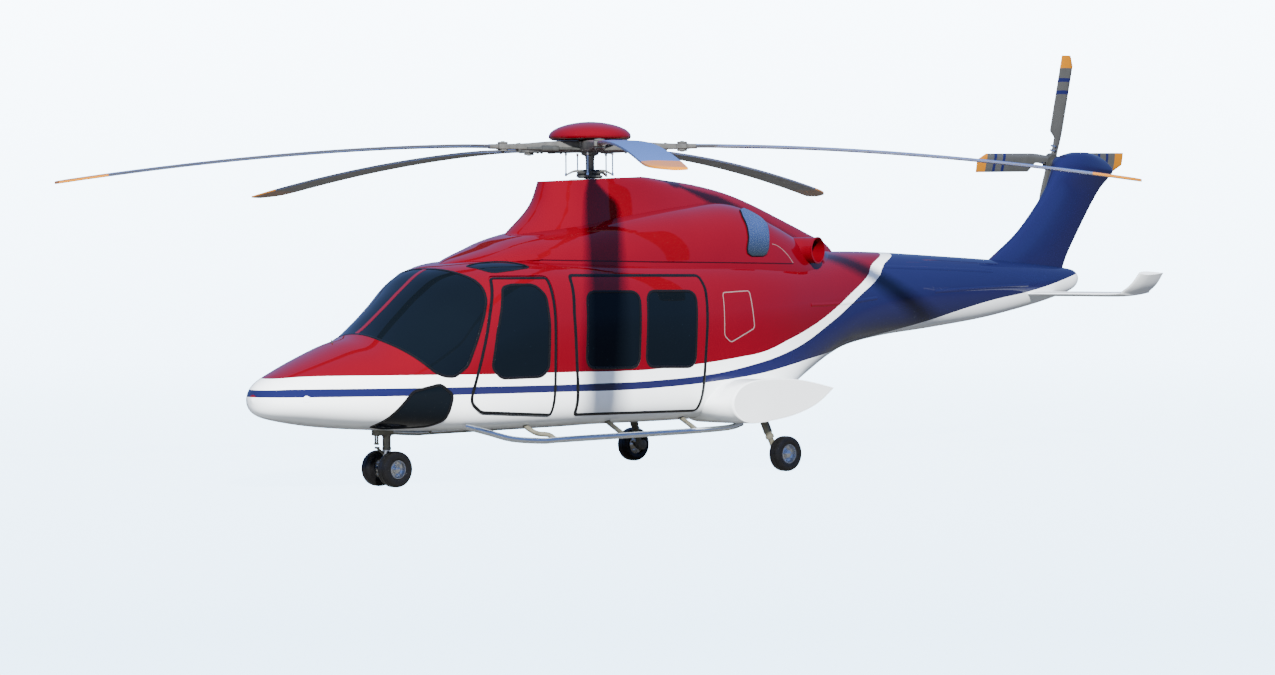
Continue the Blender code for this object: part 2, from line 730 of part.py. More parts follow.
def cowl_form(name, inset):
    """Whole outer form of the cowling, drawn in by inset."""
    form = cowl_shoulders(inset)
    form.name = name
    return combine(form, [mast_fairing(inset)], "UNION")


def on_side(points, sign):
    """Points of the port side, turned over to starboard where the sign is -1."""
    return [(x, sign * y, z) for x, y, z in points]


def make_exhaust_pipes():
    """Curved exhaust pipes, each open at both ends, that leave the cowling behind its metal plates."""
    pipe = tube("exhaust_pipe_left", PIPE, PIPE_RADIUS, paint(), PIPE_SIDES)
    bore = tube("bore", (PIPE_START, *PIPE, PIPE_END), PIPE_BORE, paint(), PIPE_SIDES)
    combine(pipe, [bore, hull_cutter()], "DIFFERENCE")
    both_sides(pipe)


def make_cowling():
    """Engine cowling with the mast fairing on top, a scoop on each side and a hole for each pipe."""
    cowl = cowl_form("engine_cowling", 0.0)
    scoops = [loft("scoop", [on_side(ring, sign) for ring in SCOOP], paint()) for sign in (1, -1)]
    combine(cowl, scoops, "UNION")
    hollow = cowl_form("hollow", BOOM_WALL)
    mast_hole = turned("hole", [(0, MAST_HOLE), (0.4, MAST_HOLE)], (0, 0, 3.2), (0, 0, 1), paint(), 20)
    pipe_hole = tube("hole", PIPE, PIPE_RADIUS + GAP, paint(), PIPE_SIDES)
    pipe_holes = [pipe_hole, mirrored(pipe_hole, "hole")]
    combine(cowl, [hollow, hull_cutter(), *pipe_holes, mast_hole], "DIFFERENCE")

    plate = cowl_form("cowl_plate_left", -PLATE_THICKNESS)
    plate.data.materials.clear()
    plate.data.materials.append(steel())
    outwards = Vector((0, 1, 1)).normalized()
    ends = [[Vector(point) + outwards * reach for point in COWL_PLATE] for reach in (-0.12, 0.25)]
    combine(plate, [loft("outline", ends, steel())], "INTERSECT")
    combine(plate, [cowl_form("form", -GAP)], "DIFFERENCE")
    both_sides(plate)


def blade_height(r):
    """Height of the blade's pitch axis at a radius, drooping under its own weight."""
    share = (r - BLADE_ROOT) / (ROTOR_RADIUS - BLADE_ROOT)
    return ROTOR_Z - ROTOR_DROOP * max(share, 0.0) ** DROOP_POWER


def blade_rings():
    """Blunt-edged sections of one main blade along +X. The rotor turns clockwise from above, so -Y leads."""
    stations = (
        (BLADE_ROOT, 0.045, 0.050, 0.046),
        (BLADE_ROOT + 0.20, 0.060, 0.180, 0.044),
        (BLADE_ROOT + 0.45, BLADE_FRONT, BLADE_REAR, 0.042),
        (2.6, BLADE_FRONT, BLADE_REAR, 0.040),
        (3.6, BLADE_FRONT, BLADE_REAR, 0.040),
        (4.6, BLADE_FRONT, BLADE_REAR, 0.038),
        (5.5, BLADE_FRONT, BLADE_REAR, 0.038),
        (5.90, BLADE_FRONT - 0.015, BLADE_REAR, 0.036),
        (6.08, BLADE_FRONT - 0.075, BLADE_REAR, 0.036),
        (ROTOR_RADIUS, BLADE_FRONT - 0.200, BLADE_REAR, 0.032),
    )
    rings = []
    for r, front, rear, thick in stations:
        chord = front + rear
        top = [(0.0, 0.0), (0.03, 0.36), (0.30, 0.55), (0.75, 0.45), (1.0, 0.28)]
        under = [(1.0, -0.24), (0.75, -0.40), (0.30, -0.45), (0.03, -0.32)]
        ring = []
        for along, up in top + under:
            ring.append(Vector((r, along * chord - front, blade_height(r) + up * thick)))
        rings.append(ring)
    return rings


def make_mast():
    """Mast with its swashplate, and a horn and a pitch link for each blade, as one turning body."""
    mast = turned(
        "rotor_mast",
        [(0, 0.085), (0.38, 0.085), (0.39, 0.050), (0.64, 0.050), (0.66, MAST_RADIUS), (0.82, MAST_RADIUS)],
        (0, 0, 2.98), (0, 0, 1), hub_grey(), 20,
    )
    plates = turned(
        "plate",
        [(0, 0.130), (0.006, 0.145), (0.030, 0.145), (0.036, 0.120), (0.044, 0.120), (0.050, 0.150),
         (0.074, 0.150), (0.080, 0.070)],
        (0, 0, 3.372), (0, 0, 1), hub_grey(), 20,
    )
    horn = ((0.05, 3.455), (0.17, 3.452), (0.235, 3.430), (LINK_RADIUS, 3.402))
    links = []
    for index in range(BLADE_COUNT):
        angle = ROTOR_PHASE + 2 * math.pi * index / BLADE_COUNT + LINK_LEAD
        out = Vector((math.cos(angle), math.sin(angle), 0))
        path = [out * r + Vector((0, 0, z)) for r, z in horn]
        links.append(tube("horn", path, 0.017, hub_grey(), 6))
        foot = out * LINK_RADIUS
        ends = [foot + Vector((0, 0, z)) for z in (LINK_FOOT, LINK_TOP)]
        links.append(tube("link", ends, 0.012, hub_grey(), 6))
    combine(mast, [plates, *links], "UNION")


def make_hub():
    """Hub with five broad arms, each with a damper beside it, an end block and a neck for its blade."""
    upright = (0, 0, 1)
    core_profile = [(0, 0.16), (0.03, 0.22), (0.12, 0.22), (0.14, 0.18)]
    hub = turned("rotor_hub", core_profile, (0, 0, 3.66), upright, hub_grey(), 20)
    profile = ((1, -0.7), (1, 0.7), (0.85, 1), (-0.85, 1), (-1, 0.7), (-1, -0.7), (-0.85, -1), (0.85, -1))
    sections = (
        (0.10, 0.125, 0.010, 0.062), (0.34, 0.115, 0.010, 0.060), (0.55, 0.080, 0.008, 0.055),
        (0.80, 0.058, 0.004, 0.038), (1.01, 0.052, 0.0, 0.032),
    )
    block_low, block_high = (1.00, -0.065, ROTOR_Z - 0.054), (1.14, 0.065, ROTOR_Z + 0.054)
    damper_profile = [(0, 0.018), (0.26, 0.018), (0.27, 0.034), (0.46, 0.036), (0.48, 0.020), (0.63, 0.016)]
    damper_foot = Vector((0.17, 0.130, ROTOR_Z - 0.020))
    damper_axis = Vector((0.62, -0.070, 0.0)).normalized()
    parts = []
    for index in range(BLADE_COUNT):
        turn = Matrix.Rotation(ROTOR_PHASE + 2 * math.pi * index / BLADE_COUNT, 4, "Z")
        rings = []
        for r, half, lift, thick in sections:
            rings.append([(r, a * half, ROTOR_Z + lift + b * thick) for a, b in profile])
        neck_profile = [(0, 0.030), (BLADE_ROOT - GAP - NECK_FROM, 0.030)]
        pieces = [
            loft("arm", rings, hub_grey()),
            box("block", block_low, block_high, hub_grey()),
            turned("neck", neck_profile, (NECK_FROM, 0, ROTOR_Z), (1, 0, 0), hub_grey(), 12),
            turned("damper", damper_profile, damper_foot, damper_axis, hub_grey(), 10),
        ]
        for piece in pieces:
            piece.data.transform(turn)
        parts.extend(pieces)
    combine(hub, parts, "UNION")
    bore_radius = MAST_RADIUS + GAP
    bore = turned("bore", [(0, bore_radius), (0.4, bore_radius)], (0, 0, 3.5), upright, hub_grey(), 20)
    combine(hub, [bore], "DIFFERENCE")


def make_main_rotor():
    """Mast, hub, cap and five drooping blades."""
    make_mast()
    make_hub()
    turned(
        "hub_cap",
        [(0, 0.36), (0.008, 0.44), (0.028, 0.466), (0.048, 0.470), (0.075, 0.462), (0.105, 0.437), (0.135, 0.391),
         (0.165, 0.318), (0.190, 0.225), (0.207, 0.115), (0.214, 0.020)],
        (0, 0, 3.80 + GAP), (0, 0, 1), paint(), 28,
    )
    for index in range(BLADE_COUNT):
        turn = Matrix.Rotation(ROTOR_PHASE + 2 * math.pi * index / BLADE_COUNT, 4, "Z")
        rings = [[turn @ point for point in ring] for ring in blade_rings()]
        loft("main_blade_" + str(index + 1), rings, blade_grey())


def make_fin():
    """Fin with the tail gearbox housing on top."""
    section = [*FIN_SIDE, *((along, -out) for along, out in reversed(FIN_SIDE[1:-1]))]
    rings = []
    for z, front, rear, half in FIN_LEVELS:
        rings.append([(front - along * (front - rear), out * half, z) for along, out in section])
    fin = loft("fin", rings, blue())
    combine(fin, [hull_cutter()], "DIFFERENCE")
    housing = [(-0.34, 0.10), (-0.14, 0.11), (-0.10, 0.09)]
    combine(fin, [turned("gearbox", housing, TAIL_HUB, TAIL_AXIS, blue(), 16)], "UNION")


def make_tail_rotor():
    """Canted tail rotor with four blades, on the fin's starboard side."""
    hub_profile = [(-0.0995, 0.05), (-0.03, 0.05), (-0.03, 0.12), (0.05, 0.12), (0.09, 0.07), (0.10, 0.03)]
    hub = turned("tail_rotor", hub_profile, TAIL_HUB, TAIL_AXIS, hub_grey(), 16)
    up = Vector((0, math.sin(TAIL_CANT), math.cos(TAIL_CANT)))
    forward = Vector((1, 0, 0))
    half = TAIL_CHORD / 2
    blades = []
    for index in range(TAIL_BLADE_COUNT):
        angle = TAIL_PHASE + 2 * math.pi * index / TAIL_BLADE_COUNT
        out = up * math.cos(angle) - forward * math.sin(angle)
        lead = -(forward * math.cos(angle) + up * math.sin(angle))
        sections = []
        for r, front, rear, thick in TAIL_BLADE:
            ring = []
            for along, through in TAIL_BLADE_SECTION:
                reach = along * half * (front if along > 0 else rear)
                ring.append(TAIL_HUB + out * r + lead * reach + TAIL_AXIS * (through * thick))
            sections.append(ring)
        blades.append(loft("blade", sections, blade_grey()))
    combine(hub, blades, "UNION")


def make_tailplanes():
    """Tailplanes with upturned tips."""
    rings = []
    for y, lift, chord in TAILPLANE:
        front = TAILPLANE_FRONT - TAILPLANE_SWEEP * y
        lean = lift / TAILPLANE[-1][1]
        ring = []
        for along, through in TAILPLANE_SECTION:
            height = TAILPLANE_Z + lift + through * (TAILPLANE_HALF - 0.010 * lean)
            ring.append((front - along * chord, y - through * 0.028 * lean, height))
        rings.append(ring)
    plane = loft("tailplane_left", rings, white())
    combine(plane, [hull_cutter()], "DIFFERENCE")
    both_sides(plane)


def make_sponsons():
    """Main gear sponsons on the hull's sides."""
    middle_x, middle_z = SPONSON_MIDDLE
    rings = []
    for y, share, shrink in SPONSON_LEVELS:
        ring = []
        for (tip_x, tip_z), (root_x, root_z) in zip(SPONSON_TIP, SPONSON_ROOT):
            x = tip_x + (root_x - tip_x) * share
            z = tip_z + (root_z - tip_z) * share
            ring.append((middle_x + (x - middle_x) * shrink, y, middle_z + (z - middle_z) * shrink))
        rings.append(ring)
    body = loft("sponson_left", rings, white())
    combine(body, [hull_cutter()], "DIFFERENCE")
    both_sides(body)


def wheel(tyre_name, rim_name, centre, radius, width, rim_radius):
    """Tyre and dished rim about a crosswise axle."""
    half = width / 2
    crosswise = (0, 1, 0)
    side = [(half * 0.7, rim_radius + GAP), (half * 0.96, radius * 0.80), (half * 0.70, radius * 0.965)]
    tyre = [*((-along, out) for along, out in side), (0, radius), *reversed(side)]
    washer(tyre_name, tyre, centre, crosswise, tyre_black(), WHEEL_SIDES)
    face = [
        (half * 0.75, rim_radius), (half * 0.75, rim_radius * 0.85), (half * 0.25, rim_radius * 0.55),
        (half * 0.35, RIM_BORE),
    ]
    rim = [*((-along, out) for along, out in face), *reversed(face)]
    return washer(rim_name, rim, centre, crosswise, steel(), WHEEL_SIDES)


def make_nose_gear():
    """Steered twin nose wheels on an upright leg, with a torque link ahead of it."""
    x, y, z = NOSE_AXLE
    upright = (0, 0, 1)
    crosswise = (0, 1, 0)
    link_x = x + 0.134
    leg = turned("nose_leg", [(0, 0.045), (0.30, 0.045)], (x, y, 0.40), upright, hub_grey(), 16)
    bracket = box("bracket", (x - 0.06, -0.055, 0.558), (x + 0.166, 0.055, 0.70), hub_grey())
    upper_link = tube("link", [(link_x, 0, 0.575), (link_x, 0, 0.462)], 0.022, hub_grey(), 8)
    combine(leg, [bracket, upper_link], "UNION")
    combine(leg, [hull_cutter()], "DIFFERENCE")

    fork_profile = [(0, 0.030), (0.13, 0.030), (0.13, 0.050), (0.20 - GAP, 0.050)]
    fork = turned("nose_fork", fork_profile, (x, y, 0.20), upright, hub_grey(), 16)
    knuckle = turned("knuckle", [(-0.045, 0.05), (0.045, 0.05)], (x, y, z), crosswise, hub_grey(), 16)
    lower_link = tube("link", [(link_x - 0.004, 0, 0.430), (x + 0.03, 0, 0.350)], 0.018, hub_grey(), 8)
    combine(fork, [knuckle, lower_link], "UNION")
    bore = turned("bore", [(-0.2, 0.020), (0.2, 0.020)], (x, y, z), crosswise, hub_grey(), 16)
    combine(fork, [bore], "DIFFERENCE")

    bar = turned("nose_wheel_rims", [(-0.215, 0.0195), (0.215, 0.0195)], (x, y, z), crosswise, steel(), 16)
    added = []
    for side, sign in (("left", 1), ("right", -1)):
        centre = (x, sign * NOSE_WHEEL_Y, z)
        sizes = (NOSE_WHEEL_RADIUS, NOSE_WHEEL_WIDTH, NOSE_RIM_RADIUS)
        rim = wheel("nose_tyre_" + side, "nose_rim_" + side, centre, *sizes)
        collar = turned("collar", [(-0.04, 0.034), (0.04, 0.034)], centre, crosswise, steel(), 16)
        added.extend([collar, rim])
    combine(bar, added, "UNION")


def make_main_gear():
    """Stepped trailing legs out of the sponsons, each with one wheel on a stub axle."""
    x, y, z = MAIN_AXLE
    inner = y - MAIN_WHEEL_WIDTH / 2 - 0.055
    crosswise = (0, 1, 0)
    top = Vector((x + 0.26, inner - 0.06, 0.80))
    line = Vector((x + 0.02, inner, z)) - top
    steps = [(share * line.length, radius) for share, radius in LEG_STEPS]
    leg = turned("main_leg_left", steps, top, line, hub_grey(), 12)
    knuckle = turned("knuckle", [(-0.045, 0.06), (0.045, 0.06)], (x, inner, z), crosswise, hub_grey(), 16)
    stub = turned("stub", [(0.0, 0.030), (0.20, 0.030)], (x, inner, z), crosswise, hub_grey(), 16)
    combine(leg, [knuckle, stub], "UNION")
    sponson = bpy.data.objects["sponson_left"]
    bore = LEG_STEPS[0][1] + GAP
    socket = turned("socket", [(0, bore), (LEG_STEPS[1][0] * line.length, bore)], top, line, hub_grey(), 12)
    socket.data.transform(Matrix.Translation((0, 0, GAP)))
    combine(sponson, [socket], "DIFFERENCE")
    bpy.data.objects.remove(bpy.data.objects["sponson_right"], do_unlink=True)
    both_sides(sponson)
    both_sides(leg)
    for side, sign in (("left", 1), ("right", -1)):
        sizes = (MAIN_WHEEL_RADIUS, MAIN_WHEEL_WIDTH, MAIN_RIM_RADIUS)
        wheel("main_tyre_" + side, "main_rim_" + side, (x, sign * y, z), *sizes)


def make_step_rails():
    """Step rail along each side below the doors, on a curved bracket and two straight struts."""
    rail = tube("step_rail_left", RAIL, RAIL_TUBE, steel(), 10)
    struts = [tube("strut", path, RAIL_STRUT, steel(), 8) for path in RAIL_STRUTS]
    combine(rail, struts, "UNION")
    sponson = copy_of(bpy.data.objects["sponson_left"], "cutter")
    grow_about(sponson, Vector((-1.70, 1.20, 0.82)), 1.001)
    combine(rail, [hull_cutter(), sponson], "DIFFERENCE")
    both_sides(rail)


def seat_form(name, front, rear, low, high):
    """Plain seat between two places across, with its back."""
    cushion = box(name, (rear, low, FLOOR_Z + GAP), (front, high, SEAT_HEIGHT), trim_grey())
    back = box("back", (rear - 0.10, low, 1.00), (rear + 0.03, high, SEAT_TOP), trim_grey())
    return combine(cushion, [back], "UNION")


def make_inside():
    """Seats, instrument panel, the two engines and the main gearbox as plain blocks."""
    for side, sign in (("left", 1), ("right", -1)):
        middle = sign * SEAT_Y
        seat_form("pilot_seat_" + side, 2.05, 1.55, middle - SEAT_HALF, middle + SEAT_HALF)
        low = (ENGINE_REAR, sign * ENGINE_Y - ENGINE_HALF, 2.30)
        high = (ENGINE_FRONT, sign * ENGINE_Y + ENGINE_HALF, 2.80)
        engine = box("engine_" + side, low, high, trim_grey())
        combine(engine, [hull_cutter()], "DIFFERENCE")
    seat_form("cabin_bench", -0.35, -0.80, -BENCH_HALF, BENCH_HALF)
    panel = box("instrument_panel", (2.66, -0.62, 1.15), (2.86, 0.62, 1.50), trim_grey())
    console = box("console", (2.10, -0.14, FLOOR_Z + GAP), (2.80, 0.14, 1.30), trim_grey())
    combine(panel, [console], "UNION")
    gearbox = box("main_gearbox", (-0.40, -0.35, 2.30), (0.40, 0.35, 2.98 - GAP), trim_grey())
    combine(gearbox, [hull_cutter()], "DIFFERENCE")


def put_origins():
    """Put each moving piece's origin on its joint's axis."""
    joints = {
        "rotor_": (0, 0, ROTOR_Z),
        "hub_cap": (0, 0, ROTOR_Z),
        "main_blade_": (0, 0, ROTOR_Z),
        "tail_rotor": TAIL_HUB,
        "nose_fork": NOSE_AXLE,
        "nose_wheel_rims": NOSE_AXLE,
        "nose_tyre_": NOSE_AXLE,
        "main_rim_": MAIN_AXLE,
        "main_tyre_": MAIN_AXLE,
        "cockpit_door_": COCKPIT_HINGE,
        "cockpit_glass_": COCKPIT_HINGE,
        "baggage_door_": BAGGAGE_HINGE,
    }
    for obj in bpy.context.scene.collection.objects:
        for start, point in joints.items():
            if obj.name.startswith(start):
                x, y, z = point
                set_origin(obj, (x, -y if obj.name.endswith("_right") else y, z))


def place_all():
    """Move the whole model so that its box is centred on the origin."""
    for obj in bpy.context.scene.collection.objects:
        obj.location = obj.location + Vector((MAST_X, MAST_Y, 0))


def shade(obj, angle=35):
    """Smooth shading with sharp edges where the faces turn by more than the angle."""
    obj.data.shade_smooth()
    obj.data.set_sharp_from_angle(angle=math.radians(angle))


def main():
    clear_scene()
    make_cabin()
    make_rear_fuselage()
    make_cowling()
    make_exhaust_pipes()
    make_main_rotor()
    make_fin()
    make_tail_rotor()
    make_tailplanes()
    make_sponsons()
    make_nose_gear()
    make_main_gear()
    make_step_rails()
    make_inside()
    put_origins()
    for obj in bpy.context.scene.collection.objects:
        shade(obj)
    place_all()


main()
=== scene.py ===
"""Visual model of a twin-engine helicopter on wheels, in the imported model's frame and in metres.

Shapes are drawn about the rotor mast's axis, with X forward, Y to port and Z up, and each finished
piece is moved to MAST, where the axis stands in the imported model.
"""
import logging
import math
from dataclasses import dataclass, field
from enum import Enum
from typing import Callable, Optional, Sequence

import bmesh
import bpy
from mathutils import Matrix, Vector
from mathutils.bvhtree import BVHTree
from mathutils.geometry import delaunay_2d_cdt
from mathutils.interpolate import poly_3d_calc


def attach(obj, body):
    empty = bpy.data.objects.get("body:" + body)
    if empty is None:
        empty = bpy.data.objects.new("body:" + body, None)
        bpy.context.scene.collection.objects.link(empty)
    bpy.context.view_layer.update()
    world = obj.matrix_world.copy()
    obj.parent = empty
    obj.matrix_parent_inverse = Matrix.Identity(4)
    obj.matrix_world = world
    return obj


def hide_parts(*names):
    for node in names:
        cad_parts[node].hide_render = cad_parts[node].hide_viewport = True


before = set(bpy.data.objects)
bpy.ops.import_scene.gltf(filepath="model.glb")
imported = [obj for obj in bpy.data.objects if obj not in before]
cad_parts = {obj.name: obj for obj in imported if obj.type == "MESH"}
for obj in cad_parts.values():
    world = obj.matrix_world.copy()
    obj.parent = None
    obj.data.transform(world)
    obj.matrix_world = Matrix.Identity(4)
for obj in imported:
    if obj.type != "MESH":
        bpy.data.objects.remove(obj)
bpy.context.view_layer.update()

logging.basicConfig(level=logging.INFO, format="%(name)s: %(message)s")
log = logging.getLogger("helicopter")

Mesh = bmesh.types.BMesh
Pair = tuple[float, float]
Triple = tuple[float, float, float]
Rows = Sequence[Sequence[float]]
Outline = Sequence[Pair]

FORWARD: Triple = (1, 0, 0)
PORT: Triple = (0, 1, 0)
STARBOARD: Triple = (0, -1, 0)
UP: Triple = (0, 0, 1)
DOWN: Triple = (0, 0, -1)

MAST = Vector((1.8755, 0.453, 0.0))
DOOR_GAP = 0.010
HINGE_GAP = 0.0006
WALL = 0.05
GLASS = 0.010
GLASS_INSET = 0.003
PANE_GAP = 0.0003
FLOOR_Z = 0.70
SPLIT_X = -1.00
BOOM_X = -3.40
INNER_Y = 0.30
OUTER_Y = 1.6
ROOF_LOW = 2.0
ROOF_HIGH = 2.7
CENTRE_POST = 0.03
BEAD_SPACING = 0.03
BEAD_DEPTH = 0.003
PATCH_SPACING = 0.04
SHARP_EDGE = 32.0

# Hull stations: x, half width, bottom, height of the widest line, top, fullness above, fullness below
HULL: Rows = (
    (4.625, 0.015, 0.975, 0.990, 1.005, 2.0, 2.0), (4.585, 0.160, 0.870, 0.985, 1.110, 2.0, 2.0),
    (4.470, 0.320, 0.800, 0.980, 1.205, 2.1, 2.1), (4.250, 0.480, 0.748, 0.975, 1.300, 2.2, 2.2),
    (3.930, 0.640, 0.695, 0.985, 1.430, 2.2, 2.4), (3.600, 0.770, 0.658, 1.005, 1.558, 2.1, 2.7),
    (3.290, 0.860, 0.635, 1.045, 1.665, 2.0, 3.0), (2.980, 0.930, 0.617, 1.100, 1.895, 2.0, 3.4),
    (2.700, 0.985, 0.607, 1.150, 2.125, 2.15, 3.8), (2.420, 1.030, 0.600, 1.200, 2.325, 2.6, 4.2),
    (2.080, 1.065, 0.598, 1.250, 2.415, 3.2, 4.5), (1.600, 1.090, 0.595, 1.280, 2.455, 3.8, 4.5),
    (0.700, 1.100, 0.595, 1.300, 2.465, 4.2, 4.5), (-0.800, 1.100, 0.595, 1.300, 2.465, 4.2, 4.5),
    (-1.600, 1.065, 0.620, 1.350, 2.465, 4.2, 4.0), (-2.200, 0.990, 0.710, 1.450, 2.470, 3.8, 3.4),
    (-2.750, 0.870, 0.965, 1.600, 2.485, 3.3, 3.0), (-3.300, 0.740, 1.205, 1.750, 2.505, 2.9, 2.7),
    (-3.850, 0.620, 1.365, 1.880, 2.530, 2.6, 2.4), (-4.600, 0.510, 1.480, 1.980, 2.520, 2.4, 2.2),
    (-5.500, 0.430, 1.562, 2.030, 2.480, 2.3, 2.2), (-6.500, 0.350, 1.670, 2.070, 2.430, 2.2, 2.2),
    (-7.400, 0.270, 1.815, 2.120, 2.375, 2.1, 2.1), (-8.000, 0.180, 1.940, 2.150, 2.320, 2.0, 2.0),
    (-8.300, 0.110, 2.030, 2.165, 2.280, 2.0, 2.0), (-8.420, 0.020, 2.145, 2.165, 2.190, 2.0, 2.0),
)


class Body(Enum):
    """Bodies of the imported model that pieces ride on."""

    AIRFRAME = "airframe"
    MAIN_ROTOR = "main_rotor"
    TAIL_ROTOR = "tail_rotor"
    NOSE_STEERING = "nose_steering"
    NOSE_WHEELS = "nose_wheels"
    MAIN_WHEEL_LEFT = "main_wheel_left"
    MAIN_WHEEL_RIGHT = "main_wheel_right"
    COCKPIT_DOOR_LEFT = "cockpit_door_left"
    COCKPIT_DOOR_RIGHT = "cockpit_door_right"
    BAGGAGE_DOOR_LEFT = "baggage_door_left"
    BAGGAGE_DOOR_RIGHT = "baggage_door_right"


class Side(Enum):
    """Port and starboard, with the sign of Y there."""

    LEFT = 1
    RIGHT = -1

    @property
    def word(self) -> str:
        """The side's ending in node and piece names."""
        return self.name.lower()


FIXED = (Body.AIRFRAME, Body.AIRFRAME)
COCKPIT_DOORS = (Body.COCKPIT_DOOR_LEFT, Body.COCKPIT_DOOR_RIGHT)


# Curves and sections


def smooth_value(rows: Rows, index: float, column: int) -> float:
    """Value of one column at a fractional row index.

    Args:
        rows: Rows of numbers that the curve passes through.
        index: Fractional row index.
        column: Column to read.

    Returns:
        The value on a Catmull-Rom curve through the rows.
    """
    low = min(int(index), len(rows) - 2)
    part = index - low
    p0 = rows[max(low - 1, 0)][column]
    p1 = rows[low][column]
    p2 = rows[low + 1][column]
    p3 = rows[min(low + 2, len(rows) - 1)][column]
    share = part * part * (3 - 2 * part)
    lead = (p2 - p0) / 2 * part * (1 - part) ** 2
    trail = (p3 - p1) / 2 * part * part * (1 - part)
    return p1 * (1 - share) + p2 * share + lead - trail


def refined(rows: Rows, steps: int) -> list[tuple[float, ...]]:
    """Rows with more of them on the smooth curve between each two.

    Args:
        rows: Rows of numbers.
        steps: Number of steps from each row to the next.

    Returns:
        The finer rows, the given ones among them.
    """
    count = (len(rows) - 1) * steps
    columns = range(len(rows[0]))
    return [tuple(smooth_value(rows, i / steps, c) for c in columns) for i in range(count + 1)]


def superellipse(
    half: float, low: float, middle: float, high: float, above: float, below: float, sides: int
) -> list[Pair]:
    """Ring of (y, z) round a section whose fullness differs above and below its widest line.

    Args:
        half: Half width.
        low: Height of the lowest point.
        middle: Height of the widest line.
        high: Height of the highest point.
        above: Fullness above the widest line, 2 for an ellipse.
        below: Fullness below it.
        sides: Number of points.

    Returns:
        The points in order round the section.
    """
    ring = []
    for step in range(sides):
        angle = 2 * math.pi * (step + 0.5) / sides
        across, up = math.cos(angle), math.sin(angle)
        power = above if up > 0 else below
        reach = high - middle if up > 0 else middle - low
        y = half * math.copysign(abs(across) ** (2 / power), across)
        z = middle + reach * math.copysign(abs(up) ** (2 / power), up)
        ring.append((y, z))
    return ring


def rounded(outline: Outline, radius: float, steps: int = 8) -> list[Pair]:
    """Outline with each corner turned through a short curve.

    Args:
        outline: Corner points.
        radius: How far each corner is cut back along its sides.
        steps: Number of steps round each corner.

    Returns:
        The points of the rounded outline.
    """
    points = []
    count = len(outline)
    for index, corner in enumerate(outline):
        here = Vector(corner)
        back = Vector(outline[index - 1]) - here
        ahead = Vector(outline[(index + 1) % count]) - here
        start = here + back.normalized() * min(radius, back.length * 0.4)
        end = here + ahead.normalized() * min(radius, ahead.length * 0.4)
        for step in range(steps + 1):
            t = step / steps
            points.append(start * (1 - t) ** 2 + here * 2 * t * (1 - t) + end * t * t)
    return [(point.x, point.y) for point in points]


def grown(outline: Outline, amount: float) -> list[Pair]:
    """Outline moved outwards by an amount, or inwards by a negative one.

    Args:
        outline: Points of a closed outline.
        amount: Distance in metres.

    Returns:
        The moved points.
    """
    count = len(outline)
    area = sum(outline[i - 1][0] * outline[i][1] - outline[i][0] * outline[i - 1][1] for i in range(count))
    turn = 1 if area > 0 else -1
    points = []
    for index in range(count):
        here = Vector(outline[index])
        before = (here - Vector(outline[index - 1])).normalized()
        after = (Vector(outline[(index + 1) % count]) - here).normalized()
        normal = Vector((before.y + after.y, -before.x - after.x)).normalized() * turn
        share = max(0.5, normal.dot(Vector((before.y, -before.x)) * turn))
        points.append(here + normal * amount / share)
    return [(point.x, point.y) for point in points]


def dense(points: Sequence[Sequence[float]], spacing: float, closed: bool) -> list[Vector]:
    """Points of a line with more of them between, evenly spaced on each stretch.

    Args:
        points: Points in two or three dimensions.
        spacing: Greatest distance between neighbours.
        closed: Whether the line returns to its start.

    Returns:
        The denser line.
    """
    line = [Vector(point) for point in points]
    ends = line[1:] + ([line[0]] if closed else [])
    found = []
    for start, end in zip(line, ends):
        count = max(1, math.ceil((end - start).length / spacing))
        found.extend(start.lerp(end, step / count) for step in range(count))
    if not closed:
        found.append(line[-1])
    return found


@dataclass(frozen=True)
class Opening:
    """Window or door: the corner points of its outline in (x, z), and the radius that rounds them.

    The roof window's outline is in (x, y).
    """

    outline: Outline
    corner: float

    def shape(self, grow: float = 0.0) -> list[Pair]:
        """Rounded outline.

        Args:
            grow: How far it is moved outwards.

        Returns:
            Its points.
        """
        shape = rounded(self.outline, self.corner)
        return grown(shape, grow) if grow else shape


WINDSCREEN = Opening((
    (3.315, 1.720), (3.295, 1.640), (3.262, 1.585), (2.929, 1.258), (2.830, 1.215), (2.710, 1.208),
    (2.557, 1.319), (2.421, 1.603), (2.320, 1.820), (2.235, 2.020), (2.222, 2.150), (2.250, 2.235),
    (2.310, 2.297), (2.355, 2.345), (2.370, 2.440), (2.900, 2.180),
), 0.05)
CHIN_WINDOW = Opening((
    (3.505, 0.690), (3.190, 1.065), (2.878, 1.134), (2.736, 1.019), (2.779, 0.739), (2.889, 0.672),
    (3.282, 0.655),
), 0.05)
COCKPIT_DOOR = Opening((
    (2.095, 2.273), (1.413, 2.272), (1.390, 2.200), (1.386, 1.856), (1.399, 1.195), (1.411, 0.759),
    (1.439, 0.730), (2.386, 0.791), (2.515, 0.892), (2.536, 0.980), (2.432, 1.316), (2.260, 1.869),
), 0.06)
COCKPIT_WINDOW = Opening((
    (2.014, 2.148), (1.897, 2.177), (1.615, 2.174), (1.507, 2.064), (1.492, 1.747), (1.513, 1.267),
    (1.617, 1.179), (2.144, 1.175), (2.262, 1.286), (2.182, 1.667),
), 0.06)
CABIN_DOOR = Opening((
    (1.103, 2.270), (-0.780, 2.256), (-0.820, 2.116), (-0.800, 1.684), (-0.742, 1.034),
    (-0.712, 0.726), (1.099, 0.747), (1.126, 1.300), (1.149, 1.864),
), 0.05)
FRONT_CABIN_WINDOW = Opening(((0.945, 2.092), (0.182, 2.085), (0.228, 1.238), (0.992, 1.256)), 0.13)
REAR_CABIN_WINDOW = Opening(((0.072, 2.090), (-0.662, 2.082), (-0.610, 1.226), (0.128, 1.246)), 0.13)
